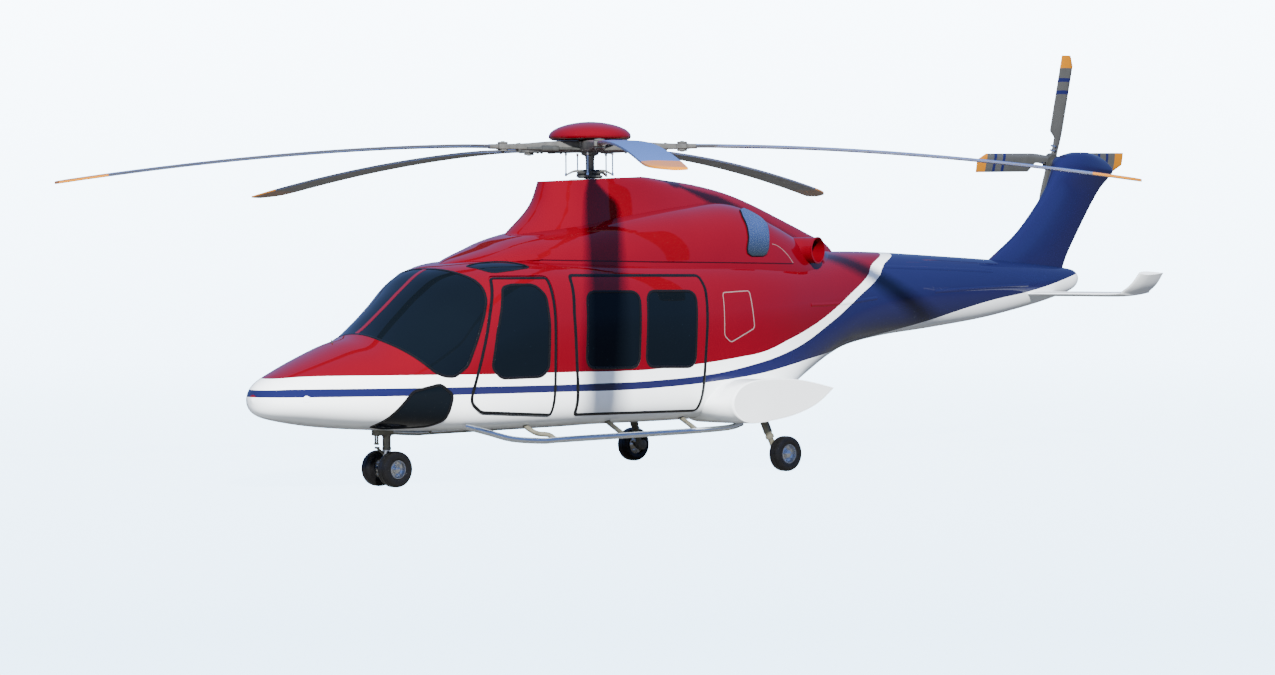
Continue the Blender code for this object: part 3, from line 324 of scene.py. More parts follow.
BAGGAGE_DOOR = Opening((
    (-1.080, 2.059), (-1.515, 2.075), (-1.564, 1.646), (-1.170, 1.490), (-1.068, 1.568),
), 0.04)
ROOF_WINDOW = Opening((
    (2.170, 0.440), (1.950, 0.440), (1.700, 0.520), (1.500, 0.790), (1.780, 0.795), (2.030, 0.750),
), 0.1)


# Mesh building


def loft(rings: Sequence[Sequence[Sequence[float]]], closed: bool = False) -> Mesh:
    """Surface through rings of equal length, capped at both ends unless it closes on itself.

    Args:
        rings: Rings of points.
        closed: Whether the last ring joins the first.

    Returns:
        The mesh.
    """
    bm = bmesh.new()
    row = [bm.verts.new(point) for point in rings[0]]
    edges = [bm.edges.new(pair) for pair in zip(row, (*row[1:], row[0]))]
    if not closed:
        bm.faces.new(row)
    for points in (*rings[1:], *((rings[0],) if closed else ())):
        fresh = set(bmesh.ops.extrude_edge_only(bm, edges=edges)["geom"])
        following = []
        for vert in row:
            following.append(next(e.other_vert(vert) for e in vert.link_edges if e.other_vert(vert) in fresh))
        for vert, point in zip(following, points):
            vert.co = point
        edges = [bm.edges.get(pair) for pair in zip(following, (*following[1:], following[0]))]
        row = following
    if closed:
        bmesh.ops.remove_doubles(bm, verts=bm.verts, dist=1e-7)
    else:
        bm.faces.new(row)
    bmesh.ops.recalc_face_normals(bm, faces=bm.faces)
    return bm


def across(axis: Vector) -> tuple[Vector, Vector]:
    """Two directions square to an axis and to each other.

    Args:
        axis: Direction of unit length.

    Returns:
        The two directions.
    """
    side = axis.cross(Vector(UP))
    if side.length < 0.1:
        side = axis.cross(Vector(FORWARD))
    side.normalize()
    return side, axis.cross(side)


def turned(
    profile: Sequence[Pair], centre: Sequence[float], axis: Sequence[float], sides: int = 48,
    ring: bool = False,
) -> Mesh:
    """Solid of revolution.

    Args:
        profile: Points of (distance along the axis, radius).
        centre: Point on the axis from which distances run.
        axis: Direction of the axis.
        sides: Number of steps round.
        ring: Whether the profile is a closed one that stays off the axis.

    Returns:
        The mesh, with flat ends if it isn't a ring.
    """
    line = Vector(axis).normalized()
    side, _ = across(line)
    middle = Vector(centre)
    bm = bmesh.new()
    verts = [bm.verts.new(middle + line * along + side * radius) for along, radius in profile]
    edges = [bm.edges.new(pair) for pair in zip(verts, verts[1:])]
    if ring:
        edges.append(bm.edges.new((verts[-1], verts[0])))
    bmesh.ops.spin(
        bm, geom=[*verts, *edges], cent=middle, axis=line, angle=2 * math.pi, steps=sides, use_merge=True
    )
    if not ring:
        bmesh.ops.holes_fill(bm, edges=[edge for edge in bm.edges if edge.is_boundary], sides=sides)
    bmesh.ops.recalc_face_normals(bm, faces=bm.faces)
    return bm


def sweep(
    path: Sequence[Sequence[float]], section: Sequence[Pair], closed: bool = False,
    ups: Optional[Sequence[Vector]] = None,
) -> Mesh:
    """Section drawn along a path.

    Args:
        path: Points of the path.
        section: Points of (across, up) round the section.
        closed: Whether the path returns to its start.
        ups: Direction of the section's up at each point, carried along from the start if left out.

    Returns:
        The mesh.
    """
    points = [Vector(point) for point in path]
    count = len(points)
    side = None
    rings = []
    for index, point in enumerate(points):
        if closed:
            ahead = points[(index + 1) % count] - points[index - 1]
        else:
            ahead = points[min(index + 1, count - 1)] - points[max(index - 1, 0)]
        ahead.normalize()
        if ups is not None:
            side = ahead.cross(ups[index])
        elif side is None:
            side = across(ahead)[0]
        side = (side - ahead * side.dot(ahead)).normalized()
        up = side.cross(ahead)
        rings.append([point + side * a + up * b for a, b in section])
    return loft(rings, closed)


def circle(radius: float, sides: int) -> list[Pair]:
    """Round section for a sweep.

    Args:
        radius: Radius in metres.
        sides: Number of points.

    Returns:
        The section's points.
    """
    turn = [2 * math.pi * step / sides for step in range(sides)]
    return [(math.cos(a) * radius, math.sin(a) * radius) for a in turn]


def block(low: Sequence[float], high: Sequence[float], soft: float = 0.0, segments: int = 2) -> Mesh:
    """Block between two corners with its edges rounded.

    Args:
        low: Lowest corner.
        high: Highest corner.
        soft: Radius of the edges.
        segments: Number of steps round each edge.

    Returns:
        The mesh.
    """
    bm = bmesh.new()
    bmesh.ops.create_cube(bm, size=1.0)
    size = Vector(high) - Vector(low)
    bmesh.ops.scale(bm, vec=size, verts=bm.verts)
    bmesh.ops.translate(bm, vec=(Vector(low) + Vector(high)) / 2, verts=bm.verts)
    if soft:
        bmesh.ops.bevel(
            bm, geom=bm.edges[:], offset=soft, offset_type="OFFSET", segments=segments,
            profile=0.5, affect="EDGES", material=-1,
        )
    bmesh.ops.recalc_face_normals(bm, faces=bm.faces)
    return bm


def joined(meshes: Sequence[Mesh]) -> Mesh:
    """Several meshes in one, each kept as its own shell.

    Args:
        meshes: The meshes, which are freed.

    Returns:
        One mesh.
    """
    whole = bmesh.new()
    for bm in meshes:
        mesh = bpy.data.meshes.new("part")
        bm.to_mesh(mesh)
        bm.free()
        whole.from_mesh(mesh)
        bpy.data.meshes.remove(mesh)
    return whole


def mirror(bm: Mesh) -> Mesh:
    """Copy of a port mesh, turned over to starboard.

    Args:
        bm: The port mesh, which is kept.

    Returns:
        The starboard mesh.
    """
    twin = bm.copy()
    bmesh.ops.scale(twin, vec=(1, -1, 1), verts=twin.verts)
    bmesh.ops.reverse_faces(twin, faces=twin.faces)
    return twin


def moved(bm: Mesh, matrix: Matrix) -> Mesh:
    """Mesh after a turn or a shift.

    Args:
        bm: The mesh, which is changed.
        matrix: The turn or shift.

    Returns:
        The same mesh.
    """
    bmesh.ops.transform(bm, matrix=matrix, verts=bm.verts)
    return bm


def boolean(target: Mesh, others: Sequence[Mesh], operation: str) -> Mesh:
    """Boolean of a mesh with each other mesh in turn.

    Args:
        target: The mesh that is changed, which is freed.
        others: The other meshes, which are freed.
        operation: DIFFERENCE, INTERSECT or UNION.

    Returns:
        The result.
    """
    objects = []
    for bm in (target, *others):
        mesh = bpy.data.meshes.new("boolean")
        bm.to_mesh(mesh)
        bm.free()
        obj = bpy.data.objects.new("boolean", mesh)
        bpy.context.scene.collection.objects.link(obj)
        objects.append(obj)
    for other in objects[1:]:
        modifier = objects[0].modifiers.new("cut", "BOOLEAN")
        modifier.operation = operation
        modifier.solver = "EXACT"
        modifier.object = other
    graph = bpy.context.evaluated_depsgraph_get()
    mesh = bpy.data.meshes.new_from_object(objects[0].evaluated_get(graph))
    result = bmesh.new()
    result.from_mesh(mesh)
    for obj in objects:
        old = obj.data
        bpy.data.objects.remove(obj, do_unlink=True)
        bpy.data.meshes.remove(old)
    bpy.data.meshes.remove(mesh)
    return result


def prism(outline: Outline, low: float, high: float, plan: bool = False) -> Mesh:
    """Straight-sided solid of an outline.

    Args:
        outline: Points of (x, z) in side view, or (x, y) in plan.
        low: Where the solid starts across the view.
        high: Where it ends.
        plan: Whether the outline is drawn in plan.

    Returns:
        The mesh.
    """
    place: Callable[[float, float, float], Triple]
    place = (lambda a, b, c: (a, b, c)) if plan else (lambda a, b, c: (a, c, b))
    return loft([[place(a, b, at) for a, b in outline] for at in (low, high)])


class Surface:
    """Surface that lines and plates are laid on, and that pieces cut from it take their shading from."""

    def __init__(self, bm: Mesh) -> None:
        """Keep the surface of a mesh.

        Args:
            bm: The mesh, which is kept.
        """
        bm.normal_update()
        bm.verts.ensure_lookup_table()
        bm.verts.index_update()
        self.points = [vert.co.copy() for vert in bm.verts]
        self.polygons = [[vert.index for vert in face.verts] for face in bm.faces]
        smooth = [Vector() for _ in self.points]
        for face in bm.faces:
            if len(face.verts) <= 4:
                for vert in face.verts:
                    smooth[vert.index] += face.normal * face.calc_area()
        self.normals = [n.normalized() if n.length > 1e-12 else Vector(UP) for n in smooth]
        self.tree = BVHTree.FromPolygons(self.points, self.polygons)

    def normal_at(self, point: Vector) -> Vector:
        """Smooth normal at the surface's nearest place.

        Args:
            point: Any point.

        Returns:
            The normal.
        """
        place, _, index, _ = self.tree.find_nearest(point)
        corners = self.polygons[index]
        weights = poly_3d_calc([self.points[i] for i in corners], place)
        total = Vector()
        for weight, i in zip(weights, corners):
            total += self.normals[i] * weight
        return total.normalized() if total.length > 1e-9 else Vector(UP)

    def hit(self, start: Sequence[float], direction: Sequence[float]) -> tuple[Optional[Vector], Vector]:
        """Where a ray meets the surface.

        Args:
            start: Start of the ray.
            direction: Its direction.

        Returns:
            The place, or None, and the smooth normal there.
        """
        place, _, _, _ = self.tree.ray_cast(Vector(start), Vector(direction))
        if place is None:
            return None, Vector(UP)
        return place, self.normal_at(place)

    def along(
        self, line: Sequence[Sequence[float]], view: Sequence[float]
    ) -> tuple[list[Vector], list[Vector]]:
        """A line of points laid on the surface as seen in one direction.

        Args:
            line: Points of the line.
            view: Direction in which they are thrown at the surface.

        Returns:
            The places and the normals there.
        """
        look = Vector(view).normalized()
        places, normals = [], []
        for point in line:
            place, normal = self.hit(Vector(point) - look * 4, look)
            if place is None:
                place = self.tree.find_nearest(Vector(point))[0]
                normal = self.normal_at(place)
            places.append(place)
            normals.append(normal)
        return places, normals


def shaded(obj: bpy.types.Object, surface: Surface) -> None:
    """Give the faces that lie along a smooth surface that surface's own normals.

    Args:
        obj: Object whose mesh is still drawn about the mast.
        surface: The surface it was cut from.
    """
    mesh = obj.data
    nearest = [surface.normal_at(vert.co) for vert in mesh.vertices]
    normals: list[Vector] = [Vector()] * len(mesh.loops)
    for polygon in mesh.polygons:
        for loop in polygon.loop_indices:
            normal = nearest[mesh.loops[loop].vertex_index]
            facing = normal.dot(polygon.normal)
            if facing > 0.9:
                normals[loop] = normal
            elif facing < -0.9:
                normals[loop] = -normal
            else:
                normals[loop] = polygon.normal.copy()
    mesh.shade_smooth()
    mesh.normals_split_custom_set([tuple(normal) for normal in normals])


# Finishes


class Graph:
    """Node tree of one material, built call by call."""

    def __init__(self, name: str) -> None:
        """Start a material with a Principled shader.

        Args:
            name: The material's name.
        """
        self.material = bpy.data.materials.new(name)
        self.material.use_nodes = True
        self.tree = self.material.node_tree
        self.shader = self.tree.nodes["Principled BSDF"]

    def add(self, kind: str, **settings: object) -> bpy.types.Node:
        """Add a node.

        Args:
            kind: Node type.
            **settings: Its properties.

        Returns:
            The node.
        """
        node = self.tree.nodes.new(kind)
        for key, value in settings.items():
            setattr(node, key, value)
        return node

    def feed(self, socket: bpy.types.NodeSocket, value: object) -> None:
        """Link or set an input.

        Args:
            socket: The input.
            value: An output socket, or a constant.
        """
        if isinstance(value, bpy.types.NodeSocket):
            self.tree.links.new(value, socket)
        else:
            socket.default_value = value

    def fix(self, **values: object) -> None:
        """Set the shader's own inputs.

        Args:
            **values: Input names, with underscores for spaces, and their constants.
        """
        for key, value in values.items():
            self.shader.inputs[key.replace("_", " ")].default_value = value

    def math(self, operation: str, *values: object) -> bpy.types.NodeSocket:
        """Add a math node.

        Args:
            operation: Blender's name of the operation.
            *values: Its inputs.

        Returns:
            Its output.
        """
        node = self.add("ShaderNodeMath", operation=operation)
        for socket, value in zip(node.inputs, values):
            self.feed(socket, value)
        return node.outputs[0]

    def mix(self, factor: object, first: object, second: object) -> bpy.types.NodeSocket:
        """Mix two colours.

        Args:
            factor: Share of the second.
            first: Colour or socket.
            second: Colour or socket.

        Returns:
            The mixed colour.
        """
        node = self.add("ShaderNodeMix", data_type="RGBA")
        for index, value in ((0, factor), (6, first), (7, second)):
            self.feed(node.inputs[index], value if not isinstance(value, tuple) else (*value, 1.0))
        return node.outputs[2]

    def place(self) -> bpy.types.NodeSocket:
        """Returns:
            Object coordinates.
        """
        return self.add("ShaderNodeTexCoord").outputs["Object"]

    def split(self, vector: bpy.types.NodeSocket) -> tuple[bpy.types.NodeSocket, ...]:
        """Components of a vector.

        Args:
            vector: The vector.

        Returns:
            Its x, y and z.
        """
        node = self.add("ShaderNodeSeparateXYZ")
        self.feed(node.inputs[0], vector)
        return tuple(node.outputs)

    def noise(self, scale: float, detail: float = 3.0, stretch: Triple = (1, 1, 1)) -> bpy.types.NodeSocket:
        """Noise over Object coordinates.

        Args:
            scale: Cycles per metre.
            detail: Octaves.
            stretch: Factor on each coordinate.

        Returns:
            The noise, about 0.5.
        """
        mapping = self.add("ShaderNodeMapping")
        self.feed(mapping.inputs["Vector"], self.place())
        mapping.inputs["Scale"].default_value = stretch
        node = self.add("ShaderNodeTexNoise")
        self.feed(node.inputs["Vector"], mapping.outputs[0])
        node.inputs["Scale"].default_value = scale
        node.inputs["Detail"].default_value = detail
        return node.outputs[0]

    def spread(self, value: bpy.types.NodeSocket, low: float, high: float) -> bpy.types.NodeSocket:
        """Map 0.3 to 0.7 of a noise onto a range.

        Args:
            value: The noise.
            low: Start of the range.
            high: End of the range.

        Returns:
            The mapped value.
        """
        node = self.add("ShaderNodeMapRange")
        for name, number in (("From Min", 0.3), ("From Max", 0.7), ("To Min", low), ("To Max", high)):
            node.inputs[name].default_value = number
        self.feed(node.inputs["Value"], value)
        return node.outputs[0]

    def tinted(self, color: object, amount: float, scale: float) -> bpy.types.NodeSocket:
        """Colour that varies a little over the surface.

        Args:
            color: Colour or socket.
            amount: How far its value varies.
            scale: Cycles per metre.

        Returns:
            The varied colour.
        """
        node = self.add("ShaderNodeHueSaturation")
        self.feed(node.inputs["Color"], color if not isinstance(color, tuple) else (*color, 1.0))
        self.feed(node.inputs["Value"], self.spread(self.noise(scale), 1 - amount, 1 + amount))
        return node.outputs[0]

    def bump(self, height: bpy.types.NodeSocket, strength: float, distance: float) -> None:
        """Bump the surface.

        Args:
            height: Height from 0 to 1.
            strength: Share of the bump.
            distance: Height in metres of a full step.
        """
        node = self.add("ShaderNodeBump")
        node.inputs["Strength"].default_value = strength
        node.inputs["Distance"].default_value = distance
        self.feed(node.inputs["Height"], height)
        self.feed(self.shader.inputs["Normal"], node.outputs[0])

    def color(self, value: object) -> None:
        """Feed the base colour.

        Args:
            value: The colour's socket.
        """
        self.feed(self.shader.inputs["Base Color"], value)

    def roughness(self, value: object) -> None:
        """Feed the roughness.

        Args:
            value: The roughness's socket.
        """
        self.feed(self.shader.inputs["Roughness"], value)


@dataclass(frozen=True)
class Finish:
    """A material and the record's slot that it stands for."""

    name: str
    slot: str

    def build(self) -> bpy.types.Material:
        """Returns:
            The finished material.
        """
        raise NotImplementedError

    def material(self) -> bpy.types.Material:
        """Returns:
            The material, made once.
        """
        return bpy.data.materials.get(self.name) or self.build()


RED: Triple = (0.085, 0.0006, 0.0035)
WHITE: Triple = (0.80, 0.84, 0.85)
BLUE: Triple = (0.007, 0.008, 0.042)
ORANGE: Triple = (0.34, 0.12, 0.0008)
# Painted reflections on the main blades: sky blue on the upper face, olive ground on the under face.
BLADE_SKY_REFLECTION: Triple = (0.044, 0.088, 0.25)
BLADE_GROUND_REFLECTION: Triple = (0.13, 0.11, 0.075)
BLADE_STRIPE: Triple = (0.006, 0.008, 0.055)

LIVERY_FRONT = 5.0
LIVERY_LENGTH = 14.0
LIVERY_LOW = 0.8
LIVERY_RISE = 2.2


@dataclass(frozen=True)
class LiveryPaint(Finish):
    """Clear-coated paint: red above, a white line and a blue band that sweep up the boom, white below."""

    # Border lines in (x, z)
    red_edge: Outline = (
        (4.625, 1.205), (4.403, 1.218), (4.239, 1.234), (3.897, 1.241), (3.515, 1.238), (2.926, 1.232),
        (2.300, 1.224), (1.151, 1.217), (0.333, 1.209), (-0.200, 1.228), (-0.760, 1.265), (-1.403, 1.328),
        (-1.655, 1.358), (-2.146, 1.489), (-2.806, 1.697), (-3.504, 2.014), (-3.930, 2.235), (-4.090, 2.360),
        (-4.529, 2.511), (-4.700, 2.600), (-5.000, 2.800), (-8.500, 2.900),
    )
    blue_top: Outline = (
        (4.625, 1.100), (4.300, 1.109), (3.938, 1.108), (3.167, 1.101), (2.289, 1.094), (1.362, 1.084),
        (0.466, 1.082), (-0.150, 1.095), (-0.790, 1.130), (-1.402, 1.205), (-2.145, 1.352), (-3.022, 1.663),
        (-3.721, 2.000), (-4.150, 2.220), (-4.330, 2.363), (-4.700, 2.494), (-4.900, 2.600), (-5.200, 2.800),
        (-8.500, 2.900),
    )
    nose_band: float = 4.612
    blue_foot: Outline = (
        (4.625, 1.026), (3.235, 1.019), (1.363, 1.006), (0.464, 0.999), (-0.150, 1.012), (-0.789, 1.045),
        (-1.654, 1.120), (-2.200, 1.200), (-2.604, 1.260), (-3.173, 1.325), (-3.900, 1.425), (-4.780, 1.572),
        (-6.390, 1.901), (-7.155, 2.004), (-8.269, 2.222), (-8.450, 2.260),
    )

    def curve(self, g: Graph, x: bpy.types.NodeSocket, line: Outline) -> bpy.types.NodeSocket:
        """Height of a border line at x.

        Args:
            g: The material's nodes.
            x: Distance forward of the mast.
            line: Points of (x, z) on the line.

        Returns:
            The height in metres.
        """
        share = g.math("DIVIDE", g.math("SUBTRACT", LIVERY_FRONT, x), LIVERY_LENGTH)
        node = g.add("ShaderNodeFloatCurve")
        curve = node.mapping.curves[0]
        places = [((LIVERY_FRONT - a) / LIVERY_LENGTH, (b - LIVERY_LOW) / LIVERY_RISE) for a, b in line]
        places = [(0.0, places[0][1]), *places, (1.0, places[-1][1])]
        for point, (a, b) in zip(curve.points, (places[0], places[-1])):
            point.location = (a, b)
        for a, b in places[1:-1]:
            curve.points.new(a, b)
        for point in curve.points:
            point.handle_type = "AUTO_CLAMPED"
        node.mapping.update()
        g.feed(node.inputs["Value"], share)
        return g.math("MULTIPLY_ADD", node.outputs[0], LIVERY_RISE, LIVERY_LOW)

    def build(self) -> bpy.types.Material:
        """Returns:
            The livery, as bands between three border lines.
        """
        g = Graph(self.name)
        world_x, _, z = g.split(g.place())
        x = g.math("SUBTRACT", world_x, MAST.x)
        over_red = g.math("GREATER_THAN", z, self.curve(g, x, self.red_edge))
        over_blue = g.math("GREATER_THAN", z, self.curve(g, x, self.blue_top))
        over_foot = g.math("GREATER_THAN", z, self.curve(g, x, self.blue_foot))
        band = g.mix(g.math("GREATER_THAN", x, self.nose_band), BLUE, RED)
        lower = g.mix(over_foot, WHITE, band)
        upper = g.mix(over_blue, lower, WHITE)
        g.color(g.tinted(g.mix(over_red, upper, RED), 0.03, 0.7))
        g.roughness(g.spread(g.noise(1.6, 4.0), 0.16, 0.24))
        g.fix(Coat_Weight=1.0, Coat_Roughness=0.02, Coat_IOR=1.4, Specular_IOR_Level=0.0)
        g.bump(g.noise(1.1, 2.0), 0.12, 0.012)
        return g.material


@dataclass(frozen=True)
class GlossPaint(Finish):
    """Clear-coated paint of one colour, with a faint unevenness."""

    base: Triple = WHITE

    def build(self) -> bpy.types.Material:
        """Returns:
            The paint.
        """
        g = Graph(self.name)
        g.color(g.tinted(self.base, 0.04, 1.3))
        g.roughness(g.spread(g.noise(2.5, 4.0), 0.17, 0.26))
        g.fix(Coat_Weight=1.0, Coat_Roughness=0.02, Coat_IOR=1.4, Specular_IOR_Level=0.0)
        g.bump(g.noise(1.5, 2.0), 0.10, 0.010)
        return g.material


@dataclass(frozen=True)
class TintedGlass(Finish):
    """Dark navy glazing that reads almost solid from outside."""

    def build(self) -> bpy.types.Material:
        """Returns:
            The glazing.
        """
        g = Graph(self.name)
        g.color(g.tinted((0.002, 0.0035, 0.0055), 0.10, 0.9))
        g.roughness(g.spread(g.noise(3.0, 2.0), 0.015, 0.035))
        g.fix(Transmission_Weight=0.08, IOR=1.26)
        return g.material


@dataclass(frozen=True)
class BladeCoating(Finish):
    """Dark grey edges, where given a painted sky reflection on the upper face and a painted ground reflection
    on the under face, and orange tip bands.

    The bands are painted by their distance from the rotor's hub.
    """

    hub: Triple = (0.0, 0.0, 3.72)
    tip_from: float = 5.68
    flat: bool = True
    stripes: Sequence[Pair] = ()
    grey: Triple = (0.032, 0.033, 0.036)
    # Painted sky reflection on faces turned up, painted ground reflection on faces turned down.
    upper: Optional[Triple] = BLADE_SKY_REFLECTION
    under: Triple = BLADE_GROUND_REFLECTION
    facing_edge: float = 0.20

    def build(self) -> bpy.types.Material:
        """Returns:
            The coating.
        """
        g = Graph(self.name)
        away = g.add("ShaderNodeVectorMath", operation="SUBTRACT")
        g.feed(away.inputs[0], g.place())
        away.inputs[1].default_value = Vector(self.hub) + MAST
        scaled = g.add("ShaderNodeVectorMath", operation="MULTIPLY")
        g.feed(scaled.inputs[0], away.outputs[0])
        scaled.inputs[1].default_value = (1, 1, 0 if self.flat else 1)
        length = g.add("ShaderNodeVectorMath", operation="LENGTH")
        g.feed(length.inputs[0], scaled.outputs[0])
        radius = length.outputs["Value"]
        grey = g.tinted(self.grey, 0.14, 3.5)
        # Painted reflections: faces turned up take the sky's blue, faces turned down take the ground's olive.
        if self.upper:
            facing = g.split(g.add("ShaderNodeTexCoord").outputs["Normal"])[2]
            grey = g.mix(g.math("GREATER_THAN", facing, self.facing_edge), grey, self.upper)
            grey = g.mix(g.math("LESS_THAN", facing, -self.facing_edge), grey, self.under)
        color = g.mix(g.math("GREATER_THAN", radius, self.tip_from), grey, ORANGE)
        for low, high in self.stripes:
            beyond, within = g.math("GREATER_THAN", radius, low), g.math("LESS_THAN", radius, high)
            inside = g.math("MULTIPLY", beyond, within)
            color = g.mix(inside, color, BLADE_STRIPE)
        g.color(color)
        g.roughness(g.spread(g.noise(9.0, 5.0), 0.24, 0.40))
        g.fix(Coat_Weight=0.35, Coat_Roughness=0.12)
        g.bump(g.noise(60.0, 3.0), 0.10, 0.001)
        return g.material


@dataclass(frozen=True)
class CastMetal(Finish):
    """Metal with a fine grain and darker patches where grease and dust sit."""

    base: Triple = (0.085, 0.085, 0.080)
    metallic: float = 0.3
    rough: Pair = (0.34, 0.52)
    grain: float = 160.0

    def build(self) -> bpy.types.Material:
        """Returns:
            The metal.
        """
        g = Graph(self.name)
        g.color(g.tinted(self.base, 0.20, 14.0))
        g.roughness(g.spread(g.noise(40.0, 4.0), *self.rough))
        g.fix(Metallic=self.metallic)
        g.bump(g.noise(self.grain, 2.0), 0.18, 0.0008)
        return g.material


@dataclass(frozen=True)
class BrushedSteel(Finish):
    """Polished steel with fine marks along its length, whose colour may fade upwards from a darker foot
    colour: a painted reflection of the ground.
    """

    base: Triple = (0.62, 0.65, 0.68)
    rough: Pair = (0.10, 0.24)
    # Colour of the painted ground reflection at the bottom, if any.
    foot: Optional[Triple] = None
    ground_reflection_fade_z: float = 2.50
    rise: float = 0.35

    def build(self) -> bpy.types.Material:
        """Returns:
            The steel.
        """
        g = Graph(self.name)
        base = self.base
        # Painted ground reflection: olive at the foot, fading up into the base colour.
        if self.foot:
            share = g.math("DIVIDE", g.math("SUBTRACT", g.split(g.place())[2], self.ground_reflection_fade_z), self.rise)
            base = g.mix(g.math("MINIMUM", g.math("MAXIMUM", share, 0.0), 1.0), self.foot, self.base)
        g.color(g.tinted(base, 0.08, 6.0))
        marks = g.noise(30.0, 4.0, (1.0, 12.0, 12.0))
        g.roughness(g.spread(marks, *self.rough))
        g.fix(Metallic=1.0)
        g.bump(marks, 0.06, 0.0005)
        return g.material


@dataclass(frozen=True)
class Rubber(Finish):
    """Black rubber with a dusty bloom."""

    base: Triple = (0.012, 0.012, 0.013)
    rough: Pair = (0.38, 0.62)

    def build(self) -> bpy.types.Material:
        """Returns:
            The rubber.
        """
        g = Graph(self.name)
        dust = g.spread(g.noise(18.0, 4.0), 0.0, 0.35)
        g.color(g.mix(dust, self.base, tuple(channel * 2.2 for channel in self.base)))
        g.roughness(g.spread(g.noise(35.0, 3.0), *self.rough))
        g.fix(Specular_IOR_Level=0.25)
        g.bump(g.noise(220.0, 2.0), 0.15, 0.0006)
        return g.material


@dataclass(frozen=True)
class Cloth(Finish):
    """Woven seat cover."""

    base: Triple = (0.055, 0.060, 0.070)
    threads: float = 420.0

    def build(self) -> bpy.types.Material:
        """Returns:
            The fabric.
        """
        g = Graph(self.name)
        waves = []
        for direction in ("X", "Z"):
            wave = g.add("ShaderNodeTexWave", wave_type="BANDS", bands_direction=direction)
            g.feed(wave.inputs["Vector"], g.place())
            wave.inputs["Scale"].default_value = self.threads / 20
            wave.inputs["Distortion"].default_value = 0.6
            waves.append(wave.outputs[1])
        weave = g.math("MULTIPLY", *waves)
        g.color(g.mix(weave, self.base, tuple(channel * 1.9 for channel in self.base)))
        g.roughness(g.spread(g.noise(30.0), 0.75, 0.92))
        g.fix(Sheen_Weight=0.3)
        g.bump(weave, 0.4, 0.0006)
        return g.material


@dataclass(frozen=True)
class Plastic(Finish):
    """Moulded plastic with a fine texture."""

    base: Triple = (0.020, 0.020, 0.022)
    rough: Pair = (0.42, 0.60)

    def build(self) -> bpy.types.Material:
        """Returns:
            The plastic.
        """
        g = Graph(self.name)
        g.color(g.tinted(self.base, 0.12, 5.0))
        g.roughness(g.spread(g.noise(24.0), *self.rough))
        g.bump(g.noise(500.0, 2.0), 0.2, 0.0004)
        return g.material


TAIL_HUB: Triple = (-8.345, -0.377, 3.708)
TAIL_CANT = math.radians(13.3)

LIVERY = LiveryPaint("livery clear coat", "livery_paint")
RED_PAINT = GlossPaint("red clear coat", "livery_paint", RED)
# Pale paint for the baggage door's trim and for the cowling's strip of painted highlight.
PALE_SEAM_AND_HIGHLIGHT_PAINT = GlossPaint("pale seam and painted highlight", "livery_paint", (0.15, 0.10, 0.10))
SHADE_PAINT = GlossPaint("dark red seam", "livery_paint", (0.016, 0.0004, 0.0008))
BLUE_PAINT = GlossPaint("blue clear coat", "blue_paint", BLUE)
WHITE_PAINT = GlossPaint("white clear coat", "white_paint", WHITE)
PALE_PAINT = GlossPaint("pale grey paint", "white_paint", (0.62, 0.65, 0.66))
GLAZING = TintedGlass("tinted glazing", "tinted_glass")
BLADE = BladeCoating("main blade coating", "blade_coating")
TAIL_BLADE = BladeCoating(
    "tail blade coating", "blade_coating", TAIL_HUB, 1.275, False, ((0.925, 0.975), (1.09, 1.14)),
    (0.048, 0.050, 0.050), None,
)
HUB_METAL = CastMetal("hub metal", "rotor_metal")
DARK_METAL = CastMetal("dark metal", "rotor_metal", (0.050, 0.052, 0.050), 0.4, (0.40, 0.60))
OLIVE_METAL = CastMetal("olive primed metal", "rotor_metal", (0.13, 0.125, 0.095), 0.35, (0.45, 0.62))
CHROME = BrushedSteel("polished strut", "rotor_metal", (0.78, 0.79, 0.80), (0.05, 0.14))
RAIL_STEEL = BrushedSteel("rail steel", "rail_steel")
RIM_METAL = BrushedSteel("rim metal", "rim_metal", (0.62, 0.63, 0.64), (0.12, 0.24))
# The cowl plate's olive foot is a painted reflection of the ground.
PLATE_METAL = BrushedSteel("plate metal", "plate_metal", (0.62, 0.66, 0.78), (0.16, 0.30), (0.28, 0.26, 0.17))
SEAL = Rubber("window seal", "dark_plastic", (0.003, 0.003, 0.0035), (0.24, 0.40))
TYRE = Rubber("tyre rubber", "tyre", (0.0035, 0.0035, 0.0038), (0.22, 0.40))
SEAT_CLOTH = Cloth("seat cover", "seat_cover")
CABIN_PLASTIC = Plastic("cabin plastic", "dark_plastic")
ENGINE_METAL = CastMetal("engine casing", "engine_metal", (0.20, 0.20, 0.21), 0.7, (0.40, 0.60), 90.0)


